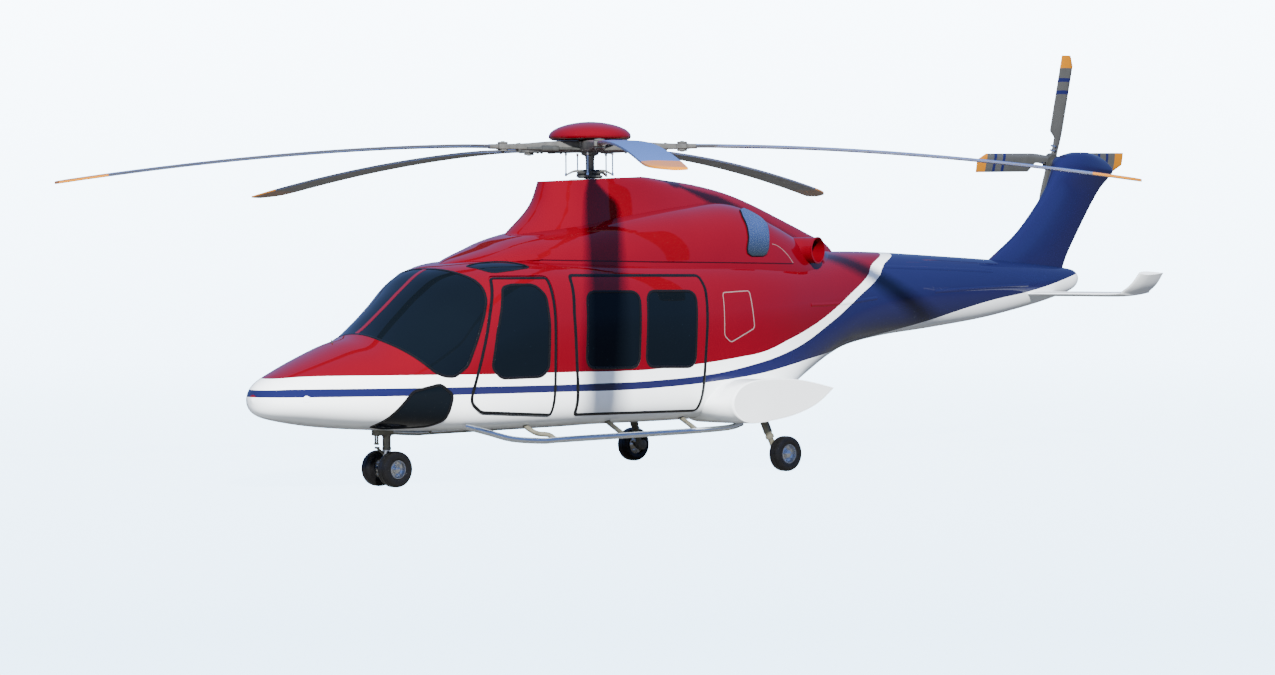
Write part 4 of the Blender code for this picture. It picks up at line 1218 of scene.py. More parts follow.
class Assembly:
    """Named group of pieces, which logs each of them as it is made."""

    title: str = "assembly"

    def build(self) -> None:
        """Make every piece of the group."""
        raise NotImplementedError

    def add(
        self, name: str, bm: Mesh, finish: Finish, body: Body = Body.AIRFRAME,
        replaces: Sequence[str] = (), surface: Optional[Surface] = None, sharp: float = SHARP_EDGE,
    ) -> bpy.types.Object:
        """Turn a mesh drawn about the mast into a piece of the model.

        Args:
            name: The piece's name.
            bm: Its mesh, which is freed.
            finish: Its finish.
            body: Body it rides on.
            replaces: Nodes it stands for.
            surface: Smooth surface that it takes its shading from.
            sharp: Angle in degrees from which an edge is sharp.

        Returns:
            The piece.
        """
        bmesh.ops.remove_doubles(bm, verts=bm.verts, dist=1e-6)
        mesh = bpy.data.meshes.new(name)
        bm.to_mesh(mesh)
        bm.free()
        obj = bpy.data.objects.new(name, mesh)
        bpy.context.scene.collection.objects.link(obj)
        mesh.materials.append(finish.material())
        if surface is not None:
            shaded(obj, surface)
        else:
            mesh.shade_smooth()
            mesh.set_sharp_from_angle(angle=math.radians(sharp))
        mesh.transform(Matrix.Translation(MAST))
        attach(obj, body.value)
        if replaces:
            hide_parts(*replaces)
        log.info("%s: %s, %d faces", self.title, name, len(mesh.polygons))
        return obj

    def pair(
        self, name: str, bm: Mesh, finish: Finish,
        bodies: tuple[Body, Body] = FIXED,
        replaces: Sequence[str] = (), surface: Optional[Surface] = None,
    ) -> None:
        """Add a port piece and its starboard twin.

        Args:
            name: The piece's name without its side.
            bm: The port mesh, which is freed.
            finish: Its finish.
            bodies: Bodies of the port and the starboard piece.
            replaces: Nodes without their side.
            surface: Smooth surface, the same on both sides.
        """
        twin = mirror(bm)
        for side, mesh, body in ((Side.LEFT, bm, bodies[0]), (Side.RIGHT, twin, bodies[1])):
            nodes = [f"{node}_{side.word}" for node in replaces]
            self.add(f"{name}_{side.word}", mesh, finish, body, nodes, surface)


@dataclass
class HullForm:
    """Curved form of the fuselage, from which its skins and panes are cut."""

    sides: int = 88
    steps: int = 5

    def index_at(self, x: float) -> float:
        """Fractional station at a distance forward.

        Args:
            x: Distance forward of the mast.

        Returns:
            The station's index.
        """
        low, high = 0.0, float(len(HULL) - 1)
        for _ in range(40):
            middle = (low + high) / 2
            if smooth_value(HULL, middle, 0) > x:
                low = middle
            else:
                high = middle
        return (low + high) / 2

    def ring(self, index: float, inset: float, floor: Optional[float]) -> list[Triple]:
        """One section.

        Args:
            index: Fractional station.
            inset: How far it is drawn in.
            floor: Height of a flat floor, if any.

        Returns:
            The section's points.
        """
        x, half, low, middle, high, above, below = (smooth_value(HULL, index, c) for c in range(7))
        half = max(half - inset, 0.002)
        low = min(low + inset, middle - 0.002)
        high = max(high - inset, middle + 0.002)
        ring = superellipse(half, low, middle, high, above, below, self.sides)
        if floor is not None:
            ring = [(y, max(z, floor)) for y, z in ring]
        return [(x, y, z) for y, z in ring]

    def solid(
        self, front: float, rear: float, inset: float = 0.0, floor: Optional[float] = None
    ) -> Mesh:
        """Part of the form between two places.

        Args:
            front: Where it starts.
            rear: Where it ends.
            inset: How far it is drawn in.
            floor: Height of a flat floor, if any.

        Returns:
            The closed mesh.
        """
        first = self.index_at(front) if front < HULL[0][0] else 0.0
        last = self.index_at(rear) if rear > HULL[-1][0] else len(HULL) - 1.0
        grid = [i / self.steps for i in range((len(HULL) - 1) * self.steps + 1)]
        inner = [index for index in grid if first + 0.01 < index < last - 0.01]
        return loft([self.ring(index, inset, floor) for index in (first, *inner, last)])

    def pane(self, front: float, rear: float) -> Mesh:
        """Shell as thick as the glass, just below the skin.

        Args:
            front: Where it starts.
            rear: Where it ends.

        Returns:
            The shell.
        """
        back = self.solid(front + 0.3, rear - 0.3, GLASS_INSET + GLASS)
        return boolean(self.solid(front, rear, GLASS_INSET), [back], "DIFFERENCE")


FORM = HullForm()
SKIN = Surface(FORM.solid(HULL[0][0], HULL[-1][0]))


def hull_form() -> Mesh:
    """Returns:
        The whole hull with the gap that a piece set against it keeps.
    """
    return FORM.solid(HULL[0][0], HULL[-1][0], -PANE_GAP)


def cut_by_hull(bm: Mesh) -> Mesh:
    """Part of a mesh that lies outside the hull.

    Args:
        bm: The mesh, which is freed.

    Returns:
        The part, with its gap to the hull.
    """
    return boolean(bm, [hull_form()], "DIFFERENCE")


def cutter(opening: Opening, grow: float = 0.0, inner: float = INNER_Y) -> Mesh:
    """Cutter through the port wall for an opening in side view.

    Args:
        opening: The opening.
        grow: How far its outline is moved outwards.
        inner: Distance from the middle plane at which it starts.

    Returns:
        The cutter.
    """
    return prism(opening.shape(grow), inner, OUTER_Y)


def door_shape(opening: Opening, hinge: str) -> list[Pair]:
    """Outline of a hinged door, with its gap all round and almost none on its hinge's side.

    Args:
        opening: Its frame.
        hinge: Either front or top.

    Returns:
        The door's outline.
    """
    shape = opening.shape(-DOOR_GAP)
    shift = DOOR_GAP - HINGE_GAP
    if hinge == "front":
        middle = (min(x for x, _ in shape) + max(x for x, _ in shape)) / 2
        return [(x + shift, z) if x > middle else (x, z) for x, z in shape]
    middle = (min(z for _, z in shape) + max(z for _, z in shape)) / 2
    return [(x, z + shift) if z > middle else (x, z) for x, z in shape]


def bead(
    surface: Surface, line: Sequence[Triple], width: float, height: float, closed: bool = False,
    view: Triple = STARBOARD,
) -> Mesh:
    """Low rounded strip laid along a line on a surface.

    Args:
        surface: The surface.
        line: Points of the line, as seen in the view's direction.
        width: Width of the strip.
        height: How far it stands out.
        closed: Whether it returns to its start.
        view: Direction in which the line is thrown at the surface.

    Returns:
        The strip.
    """
    places, normals = surface.along(dense(line, BEAD_SPACING, closed), view)
    half = width / 2
    section = (
        (-half, -BEAD_DEPTH), (-half, 0.2 * height), (-0.6 * half, 0.85 * height), (0, height),
        (0.6 * half, 0.85 * height), (half, 0.2 * height), (half, -BEAD_DEPTH),
    )
    return sweep(places, section, closed, normals)


def patch(surface: Surface, outline: Sequence[Triple], lift: float, depth: float, view: Triple) -> Mesh:
    """Plate that follows a surface inside an outline.

    Args:
        surface: The surface.
        outline: Corner points, as seen in the view's direction.
        lift: How far the plate's face stands out.
        depth: The plate's thickness.
        view: Direction in which the outline is thrown at the surface.

    Returns:
        The plate.
    """
    look = Vector(view).normalized()
    side, up = across(look)
    flat = [Vector((point.dot(side), point.dot(up))) for point in dense(outline, PATCH_SPACING, True)]
    count = len(flat)
    low = Vector((min(p.x for p in flat), min(p.y for p in flat)))
    high = Vector((max(p.x for p in flat), max(p.y for p in flat)))
    inner = []
    for i in range(1, int((high.x - low.x) / PATCH_SPACING)):
        for j in range(1, int((high.y - low.y) / PATCH_SPACING)):
            inner.append(low + Vector((i, j)) * PATCH_SPACING)
    edges = [(i, (i + 1) % count) for i in range(count)]
    points, _, faces, _, _, _ = delaunay_2d_cdt(flat + inner, edges, [list(range(count))], 1, 1e-5)
    flat_points = [side * p.x + up * p.y for p in points]
    places, normals = surface.along(flat_points, view)
    bm = bmesh.new()
    tops = [bm.verts.new(place + normal * lift) for place, normal in zip(places, normals)]
    feet = [bm.verts.new(place + normal * (lift - depth)) for place, normal in zip(places, normals)]
    rim: dict[tuple[int, int], int] = {}
    for face in faces:
        bm.faces.new([tops[i] for i in face])
        bm.faces.new([feet[i] for i in reversed(face)])
        for a, b in zip(face, (*face[1:], face[0])):
            rim[(a, b)] = rim.get((a, b), 0) + 1
    for a, b in list(rim):
        if (b, a) not in rim:
            bm.faces.new((tops[b], tops[a], feet[a], feet[b]))
    loose = [vert for vert in bm.verts if not vert.link_faces]
    bmesh.ops.delete(bm, geom=loose, context="VERTS")
    bmesh.ops.recalc_face_normals(bm, faces=bm.faces)
    return bm


@dataclass
class Cabin(Assembly):
    """Cabin skin with its doors, panes and seals."""

    title: str = "cabin"
    seal_width: float = 0.030
    door_seal: float = 0.036
    cabin_door_seal: float = 0.042
    roof_seal: float = 0.026
    seal_height: float = 0.005
    hollow_front: float = 3.70
    glass_front: float = 3.75
    glass_rear: float = -0.75
    post_ends: tuple[Pair, Pair] = ((3.315, 1.700), (2.370, 2.420))

    def build(self) -> None:
        """Make the skin, doors, glass and seals."""
        hollow = FORM.solid(self.hollow_front, SPLIT_X + WALL, WALL, FLOOR_Z)
        wall = boolean(FORM.solid(HULL[0][0], SPLIT_X), [hollow], "DIFFERENCE")
        self.doors(wall)
        roof = prism(ROOF_WINDOW.shape(), ROOF_LOW, ROOF_HIGH, plan=True)
        cuts = [
            cutter(WINDSCREEN, inner=CENTRE_POST), cutter(CHIN_WINDOW), cutter(COCKPIT_DOOR),
            cutter(CABIN_DOOR), roof,
        ]
        skin = boolean(wall, [*(mirror(cut) for cut in cuts), *cuts], "DIFFERENCE")
        self.add("cabin_skin", skin, LIVERY, replaces=["cabin_shell"], surface=SKIN)
        self.glass()
        self.seals()
        self.fittings()

    def fittings(self) -> None:
        """Make the small fitting on the nose, and a white disc on each side that is a painted highlight."""
        # White disc on each side of the nose: a painted highlight.
        port = SKIN.hit((4.262, 3.0, 1.006), STARBOARD)
        disc = turned(((-0.003, 0.036), (0.0015, 0.036), (0.003, 0.032), (0.004, 0.01)), *port, 32)
        self.pair("nose_highlight_disc", disc, WHITE_PAINT)
        top = SKIN.hit((3.558, -0.063, 4.0), DOWN)
        shape = ((-0.004, 0.016), (0.004, 0.016), (0.008, 0.008), (0.030, 0.006), (0.036, 0.003))
        probe = turned(shape, *top, 20)
        self.add("air_temperature_probe", probe, DARK_METAL)

    def doors(self, wall: Mesh) -> None:
        """Cut the doors from the wall.

        Args:
            wall: The hollow wall, which is kept.
        """
        opening = prism(door_shape(COCKPIT_DOOR, "front"), INNER_Y, OUTER_Y)
        cockpit = boolean(wall.copy(), [opening], "INTERSECT")
        cockpit = boolean(cockpit, [cutter(COCKPIT_WINDOW)], "DIFFERENCE")
        self.pair("cockpit_door_skin", cockpit, LIVERY, COCKPIT_DOORS, ["cockpit_door"], SKIN)
        cabin = boolean(wall.copy(), [cutter(CABIN_DOOR, -PANE_GAP)], "INTERSECT")
        windows = [cutter(FRONT_CABIN_WINDOW), cutter(REAR_CABIN_WINDOW)]
        cabin = boolean(cabin, windows, "DIFFERENCE")
        self.pair("cabin_door_skin", cabin, LIVERY, replaces=["cabin_door"], surface=SKIN)

    def glass(self) -> None:
        """Cut the panes from a shell as thick as the glass."""
        shell = FORM.pane(self.glass_front, self.glass_rear)
        panes = (
            ("windscreen", WINDSCREEN, CENTRE_POST + PANE_GAP, FIXED),
            ("chin_window", CHIN_WINDOW, INNER_Y, FIXED),
            ("cockpit_glass", COCKPIT_WINDOW, INNER_Y, COCKPIT_DOORS),
            ("front_cabin_glass", FRONT_CABIN_WINDOW, INNER_Y, FIXED),
            ("rear_cabin_glass", REAR_CABIN_WINDOW, INNER_Y, FIXED),
        )
        for node, opening, inner, bodies in panes:
            pane = boolean(shell.copy(), [cutter(opening, -PANE_GAP, inner)], "INTERSECT")
            self.pair(node + "_pane", pane, GLAZING, bodies, [node], SKIN)
        lens = prism(ROOF_WINDOW.shape(-PANE_GAP), ROOF_LOW, ROOF_HIGH, plan=True)
        pane = boolean(shell, [lens], "INTERSECT")
        self.pair("roof_window_pane", pane, GLAZING, replaces=["roof_window"], surface=SKIN)

    def seals(self) -> None:
        """Lay black seals round the panes and the doors."""
        door_line = grown(door_shape(COCKPIT_DOOR, "front"), -0.5 * self.door_seal)
        rows = (
            ("chin_window_seal", CHIN_WINDOW.shape(), FIXED, self.seal_width),
            ("cockpit_glass_seal", COCKPIT_WINDOW.shape(), COCKPIT_DOORS, self.seal_width),
            ("front_cabin_glass_seal", FRONT_CABIN_WINDOW.shape(), FIXED, self.seal_width),
            ("rear_cabin_glass_seal", REAR_CABIN_WINDOW.shape(), FIXED, self.seal_width),
            ("cockpit_door_seal", door_line, COCKPIT_DOORS, self.door_seal),
            ("cabin_door_seal", CABIN_DOOR.shape(), FIXED, self.cabin_door_seal),
        )
        for name, shape, bodies, width in rows:
            line = [(x, 0.0, z) for x, z in shape]
            self.pair(name, bead(SKIN, line, width, self.seal_height, closed=True), SEAL, bodies)
        low, high = self.post_ends
        corner = WINDSCREEN.shape()
        start = min(range(len(corner)), key=lambda i: math.dist(corner[i], low))
        corner = corner[start:] + corner[:start]
        end = min(range(len(corner)), key=lambda i: math.dist(corner[i], high))
        line = [(x, 0.0, z) for x, z in corner[:end + 1]]
        self.pair("windscreen_seal", bead(SKIN, line, self.seal_width, self.seal_height), SEAL)
        lens = [(x, y, 0.0) for x, y in ROOF_WINDOW.shape()]
        seal = bead(SKIN, lens, self.roof_seal, self.seal_height, closed=True, view=DOWN)
        self.pair("roof_window_seal", seal, SEAL)


@dataclass
class RearFuselage(Assembly):
    """Fuselage behind the cabin with its baggage panels, and the tail boom."""

    title: str = "rear fuselage"
    bay_y: float = 0.7
    trim_width: float = 0.012
    trim_height: float = 0.002
    crease_width: float = 0.045
    crease_height: float = 0.006
    creases: Sequence[Sequence[Triple]] = (
        ((-4.258, 0.457, 2.340), (-5.300, 0.380, 2.312), (-6.430, 0.303, 2.273)),
        ((-5.219, 0.452, 2.025), (-6.150, 0.370, 2.060), (-7.128, 0.292, 2.088)),
        ((-2.646, 0.882, 1.895), (-3.300, 0.730, 1.905), (-4.055, 0.586, 1.959)),
    )

    def build(self) -> None:
        """Make the skins, panels and creases."""
        outer = FORM.solid(SPLIT_X - PANE_GAP, BOOM_X)
        bay = FORM.solid(SPLIT_X - PANE_GAP - WALL, BOOM_X - 0.2, WALL, FLOOR_Z)
        outer = boolean(outer, [bay], "DIFFERENCE")
        opening = prism(door_shape(BAGGAGE_DOOR, "top"), self.bay_y, OUTER_Y)
        panel = boolean(outer.copy(), [opening], "INTERSECT")
        bodies = (Body.BAGGAGE_DOOR_LEFT, Body.BAGGAGE_DOOR_RIGHT)
        self.pair("baggage_door_skin", panel, LIVERY, bodies, ["baggage_door"], SKIN)
        port = cutter(BAGGAGE_DOOR, inner=self.bay_y)
        skin = boolean(outer, [mirror(port), port], "DIFFERENCE")
        self.add("rear_fuselage_skin", skin, LIVERY, replaces=["rear_fuselage"], surface=SKIN)
        boom = FORM.solid(BOOM_X - PANE_GAP, HULL[-1][0])
        self.add("tail_boom_skin", boom, LIVERY, replaces=["tail_boom"], surface=SKIN)
        line = [(x, 0.0, z) for x, z in BAGGAGE_DOOR.shape()]
        trim = bead(SKIN, line, self.trim_width, self.trim_height, closed=True)
        self.pair("baggage_door_trim", trim, PALE_SEAM_AND_HIGHLIGHT_PAINT)
        for index, crease in enumerate(self.creases):
            fold = bead(SKIN, refined(crease, 4), self.crease_width, self.crease_height)
            self.pair(f"boom_crease_{index + 1}", fold, LIVERY)


@dataclass
class Cowling(Assembly):
    """Engine cowling with the mast fairing, two scoops, its metal plates and the two exhaust pipes."""

    title: str = "cowling"
    # Distance forward, half width, top
    stations: Rows = (
        (2.150, 0.120, 2.405), (1.950, 0.400, 2.475), (1.600, 0.610, 2.590), (1.200, 0.735, 2.720),
        (0.400, 0.830, 2.885), (-0.250, 0.860, 2.990), (-1.100, 0.875, 3.075), (-1.850, 0.860, 3.105),
        (-2.400, 0.800, 2.915), (-2.850, 0.700, 2.730), (-3.300, 0.520, 2.605), (-3.700, 0.250, 2.545),
    )
    # Height, front, rear, half width
    levels: Rows = (
        (2.300, 1.550, -4.050, 0.580), (2.600, 1.310, -3.780, 0.530), (2.750, 1.165, -3.430, 0.490),
        (2.950, 0.930, -2.900, 0.430), (3.100, 0.815, -2.480, 0.385), (3.220, 0.765, -2.060, 0.355),
        (3.310, 0.735, -1.560, 0.335), (3.362, 0.722, -1.050, 0.320),
    )
    foot: float = 2.20
    fullness: float = 2.7
    middle: float = 0.15
    pipe: Sequence[Triple] = (
        (-2.40, 0.28, 2.54), (-2.65, 0.44, 2.54), (-2.80, 0.61, 2.54), (-2.86, 0.79, 2.54),
    )
    pipe_radius: float = 0.155
    wall: float = 0.03
    crest_slope: float = 0.052
    mast_hole: float = 0.17
    plate_lift: float = 0.020
    rim_width: float = 0.014
    rim_height: float = 0.021
    split_width: float = 0.014
    split_height: float = 0.001
    highlight_strip_width: float = 0.008
    highlight_strip_height: float = 0.003
    scoop: Sequence[Sequence[Triple]] = (
        ((1.655, 0.500, 2.466), (1.640, 0.552, 2.425), (1.640, 0.500, 2.370), (1.655, 0.430, 2.400)),
        ((1.341, 0.652, 2.530), (1.308, 0.716, 2.446), (1.308, 0.600, 2.380), (1.341, 0.540, 2.430)),
    )
    split: Sequence[Triple] = (
        (1.296, 0.7, 2.440), (0.530, 0.8, 2.426), (-0.309, 0.8, 2.411), (-1.212, 0.8, 2.401),
        (-2.455, 0.8, 2.382),
    )
    # Line of a pale strip that is a painted highlight.
    strip: Sequence[Triple] = (
        (-2.101, 0.794, 2.614), (-2.208, 0.784, 2.590), (-2.321, 0.784, 2.520), (-2.400, 0.785, 2.449),
        (-2.449, 0.784, 2.390),
    )
    plate: Sequence[Triple] = (
        (-1.825, 0.541, 3.003), (-2.000, 0.440, 3.040), (-2.110, 0.520, 2.990), (-2.150, 0.580, 2.920),
        (-2.147, 0.646, 2.840), (-2.092, 0.730, 2.743), (-2.005, 0.821, 2.555), (-1.956, 0.837, 2.497),
        (-1.892, 0.845, 2.474), (-1.708, 0.854, 2.474), (-1.655, 0.852, 2.503), (-1.651, 0.843, 2.555),
        (-1.709, 0.804, 2.683), (-1.742, 0.736, 2.811), (-1.761, 0.640, 2.917),
    )

    def crest_rise(self, x: float) -> float:
        """Height of the fairing's crest above its value at the mast.

        Args:
            x: Distance forward of the mast.

        Returns:
            The rise in metres.
        """
        return self.crest_slope * (min(-x, 0.60) - min(max(-0.60 - x, 0.0), 0.45))

    def shoulders(self, inset: float) -> Mesh:
        """Wide lower part of the cowling.

        Args:
            inset: How far it is drawn in.

        Returns:
            The solid.
        """
        rings = []
        for x, half, top in refined(self.stations, 6):
            ring = superellipse(
                max(half - inset, 0.05), self.foot, self.foot + 0.02, top - inset, self.fullness, 2.0, 96
            )
            rings.append([(x, y, z) for y, z in ring])
        return loft(rings)

    def fairing(self, inset: float) -> Mesh:
        """Narrow upper part round the mast.

        Args:
            inset: How far it is drawn in.

        Returns:
            The solid.
        """
        rings = []
        base, top = self.levels[3][0], self.levels[-1][0]
        for z, front, rear, half in refined(self.levels, 5):
            share = max(0.0, (z - base) / (top - base))
            ring = []
            for step in range(96):
                angle = 2 * math.pi * step / 96
                along = math.cos(angle)
                reach = front - self.middle if along > 0 else self.middle - rear
                taper = 1.0 if along > 0 else 1 - 0.45 * along * along
                x = self.middle + (reach - inset) * along
                y = (half - inset) * math.sin(angle) * taper
                ring.append((x, y, z - inset + share * self.crest_rise(x)))
            rings.append(ring)
        return loft(rings)

    def build(self) -> None:
        """Make the cowling, plates, split lines and pipes."""
        scoops = [self.scoop_form(), mirror(self.scoop_form())]
        cowl = boolean(self.shoulders(0.0), [self.fairing(0.0), *scoops], "UNION")
        hollow = boolean(self.shoulders(self.wall), [self.fairing(self.wall)], "UNION")
        hole = sweep(self.pipe_line(), circle(self.pipe_radius + PANE_GAP, 48))
        mast_hole = turned([(0, self.mast_hole), (0.4, self.mast_hole)], (0, 0, 3.2), UP)
        whole = boolean(cowl, [hollow, hull_form(), mirror(hole), hole, mast_hole], "DIFFERENCE")
        surface = Surface(whole)
        self.add("cowling_skin", whole, RED_PAINT, replaces=["engine_cowling"])
        self.trim(surface)
        self.pipes()

    def scoop_form(self) -> Mesh:
        """Returns:
            The wedge ahead of the port shoulder, with its edges rounded.
        """
        wedge = loft(self.scoop)
        bmesh.ops.bevel(
            wedge, geom=wedge.edges[:], offset=0.008, offset_type="OFFSET", segments=3, profile=0.5,
            affect="EDGES", material=-1,
        )
        return wedge

    def pipe_line(self) -> list[Triple]:
        """Returns:
            The port pipe's middle line.
        """
        return [(x, y, z) for x, y, z in refined(self.pipe, 5)]

    def pipes(self) -> None:
        """Make the exhaust pipes, each with a rolled lip and a red lining."""
        line = self.pipe_line()
        first, last = Vector(line[0]), Vector(line[-1])
        back = (first - Vector(line[1])).normalized()
        out = (last - Vector(line[-2])).normalized()
        bore = sweep([first + back * 0.1, *line, last + out * 0.1], circle(self.pipe_radius - 0.012, 48))
        pipe = boolean(sweep(line, circle(self.pipe_radius, 48)), [bore, hull_form()], "DIFFERENCE")
        self.pair("exhaust_pipe_skin", pipe, RED_PAINT, replaces=["exhaust_pipe"])
        r = self.pipe_radius
        lip = (
            (-0.018, r), (-0.012, r + 0.005), (-0.003, r + 0.005), (0.001, r - 0.003), (0.0, r - 0.012),
            (-0.018, r - 0.012),
        )
        self.pair("exhaust_lip", turned(lip, last, out, 48, ring=True), RED_PAINT)
        lining = sweep([first, *line[1:-1], last - out * 0.015], circle(r - 0.013, 48))
        inner = sweep([first + back * 0.1, *line, last + out * 0.1], circle(r - 0.017, 48))
        lining = boolean(lining, [inner, hull_form()], "DIFFERENCE")
        self.pair("exhaust_lining", lining, RED_PAINT)

    def trim(self, surface: Surface) -> None:
        """Lay the plates, the split lines, a pale strip of painted highlight and the mast's collar on the
        cowling.

        Args:
            surface: The cowling's surface.
        """
        slant = (0, -1, -1)
        outline = [(p.x, p.y, p.z) for p in dense(self.plate, 0.03, True)]
        plate = patch(surface, outline, self.plate_lift, self.plate_lift - PANE_GAP, slant)
        self.pair("cowl_plate_skin", plate, PLATE_METAL, replaces=["cowl_plate"])
        rim = bead(surface, outline, self.rim_width, self.rim_height, closed=True, view=slant)
        self.pair("cowl_plate_rim", rim, SEAL)
        split = bead(surface, self.split, self.split_width, self.split_height)
        self.pair("cowl_split_line", split, SHADE_PAINT)
        # Pale strip: a painted highlight on the cowling near the exhaust.
        strip = bead(surface, refined(self.strip, 3), self.highlight_strip_width, self.highlight_strip_height, view=slant)
        self.pair("cowl_rear_highlight_strip", strip, PALE_SEAM_AND_HIGHLIGHT_PAINT)
        slope = (self.crest_slope, 0, 1)
        rows = ((-0.002, 0.172), (0.003, 0.174), (0.004, 0.225), (0.001, 0.236), (-0.002, 0.236))
        ring = turned(rows, (0, 0, self.levels[-1][0]), slope, 72, ring=True)
        self.add("mast_collar", ring, PALE_PAINT)


@dataclass
class MainRotor(Assembly):
    """Mast with its swashplate, hub with five arms, cap and five drooping blades."""

    title: str = "main rotor"
    radius: float = 6.2
    height: float = 3.72
    droop: float = 0.44
    droop_power: float = 1.75
    phase: float = math.radians(55.5)
    count: int = 5
    root: float = 1.24
    front: float = 0.075
    rear: float = 0.315
    link_lead: float = math.radians(-11)
    link_radius: float = 0.280
    link_low: float = 3.392
    link_top: float = 3.664
    mast_foot: float = 2.98
    swash_foot: float = 3.372
    hub_foot: float = 3.66
    cap_foot: float = 3.80
    arm_end: float = 1.07
    neck_start: float = 1.10
    # Height above the foot, radius
    cap: Rows = (
        (0, 0.36), (0.008, 0.44), (0.028, 0.466), (0.048, 0.470), (0.075, 0.462), (0.105, 0.437),
        (0.135, 0.391), (0.165, 0.318), (0.190, 0.225), (0.207, 0.115), (0.214, 0.020),
    )

    def turn(self, index: int, offset: float = 0.0) -> Matrix:
        """Turn from +X to a blade's direction.

        Args:
            index: The blade's number.
            offset: Extra angle in radians.

        Returns:
            The turn about the mast.
        """
        return Matrix.Rotation(self.phase + 2 * math.pi * index / self.count + offset, 4, "Z")

    def line(self, r: float) -> float:
        """Height of the blade's axis.

        Args:
            r: Distance from the mast.

        Returns:
            The height in metres.
        """
        share = (r - self.root) / (self.radius - self.root)
        return self.height - self.droop * max(share, 0.0) ** self.droop_power

    def blade(self) -> Mesh:
        """Returns:
            One blade along +X, which leads with its -Y edge.
        """
        # Distance out, front, rear, thickness
        stations = (
            (self.root, 0.045, 0.050, 0.046), (self.root + 0.20, 0.060, 0.180, 0.044),
            (self.root + 0.45, self.front, self.rear, 0.042), (2.6, self.front, self.rear, 0.040),
            (3.6, self.front, self.rear, 0.040), (4.6, self.front, self.rear, 0.038),
            (5.5, self.front, self.rear, 0.038), (5.90, self.front - 0.015, self.rear, 0.036),
            (6.08, self.front - 0.075, self.rear, 0.036), (self.radius, self.front - 0.200, self.rear, 0.032),
        )
        top_rows = (
            (0.0, 0.0), (0.006, 0.20), (0.03, 0.36), (0.30, 0.55), (0.75, 0.45), (0.985, 0.32), (1.0, 0.22),
        )
        under_rows = (
            (1.0, 0.22), (1.0, -0.18), (0.985, -0.27), (0.75, -0.40), (0.30, -0.45), (0.03, -0.32),
            (0.006, -0.18), (0.0, 0.0),
        )
        top, under = refined(top_rows, 3), refined(under_rows, 3)
        rings = []
        for r, front, rear, thick in refined(stations, 5):
            chord = front + rear
            rings.append([(r, a * chord - front, self.line(r) + b * thick) for a, b in (*top, *under[1:-1])])
        return loft(rings)

    def build(self) -> None:
        """Make every piece of the rotor."""
        body = Body.MAIN_ROTOR
        for index in range(self.count):
            name = f"main_blade_{index + 1}"
            self.add(name + "_skin", moved(self.blade(), self.turn(index)), BLADE, body, [name])
        self.head()
        self.mast()

    def head(self) -> None:
        """Make the hub, its arms and its cap."""
        body = Body.MAIN_ROTOR
        profile = ((0, 0.13), (0.015, 0.19), (0.03, 0.22), (0.12, 0.22), (0.13, 0.20), (0.14, 0.12))
        core = turned(profile, (0, 0, self.hub_foot), UP, 60)
        self.add("hub_core", core, HUB_METAL, body, ["rotor_hub"])
        for index in range(self.count):
            turn = self.turn(index)
            self.add(f"hub_arm_{index + 1}", moved(self.arm(), turn), HUB_METAL, body)
            self.add(f"hub_bolts_{index + 1}", moved(self.bolts(), turn), DARK_METAL, body)
            self.add(f"lag_damper_{index + 1}", moved(self.damper(), turn), DARK_METAL, body)
        dome = refined(self.cap, 5)
        foot = (0, 0, self.cap_foot + PANE_GAP)
        cap = turned([(a, max(r, 0.01)) for a, r in dome], foot, UP, 96)
        self.add("hub_cap_shell", cap, RED_PAINT, body, ["hub_cap"])

    def arm(self) -> Mesh:
        """Returns:
            One broad arm along +X with an upright barrel at its end, a collar and the blade's neck.
        """
        z = self.height
        shape = rounded(((1, -1), (1, 1), (-1, 1), (-1, -1)), 0.5, 4)
        # Distance out, half width, lift, half thickness
        stations = (
            (0.12, 0.125, 0.010, 0.062), (0.34, 0.115, 0.010, 0.060), (0.55, 0.080, 0.008, 0.055),
            (0.80, 0.058, 0.004, 0.038), (1.02, 0.052, 0.0, 0.032),
        )
        rings = []
        for r, half, lift, thick in refined(stations, 5):
            rings.append([(r, a * half, z + lift + b * thick) for a, b in shape])
        beam = loft(rings)
        barrel = (
            (-0.054, 0.050), (-0.051, 0.058), (-0.036, 0.058), (-0.032, 0.052), (0.032, 0.052),
            (0.036, 0.058), (0.051, 0.058), (0.054, 0.050), (0.054, 0.022),
        )
        eye = turned(barrel, (self.arm_end, 0, z), UP, 40)
        collar = block((1.012, -0.064, z - 0.030), (1.135, 0.064, z + 0.030), 0.010, 3)
        neck_end = self.root - PANE_GAP - self.neck_start
        taper = ((0, 0.034), (0.045, 0.034), (0.050, 0.030), (neck_end, 0.028))
        neck = turned(taper, (self.neck_start, 0, z), FORWARD, 28)
        return joined([beam, eye, collar, neck])

    def bolts(self) -> Mesh:
        """Returns:
            Bolts through one arm's end barrel and its root.
        """
        z = self.height
        made = []
        # Distance out, distance across, half length
        places = (
            (self.arm_end, 0.0, 0.062), (0.88, 0.030, 0.044), (0.88, -0.030, 0.044), (0.44, 0.055, 0.064),
        )
        for x, y, reach in places:
            radius = 0.024 if y == 0.0 else 0.013
            flank = reach - 0.004
            head = ((-reach, radius * 0.8), (-flank, radius), (flank, radius), (reach, radius * 0.8))
            made.append(turned(head, (x, y, z), UP, 6))
            washer = ((-reach + 0.008, radius * 1.4), (reach - 0.008, radius * 1.4))
            made.append(turned(washer, (x, y, z), UP, 20))
        return joined(made)

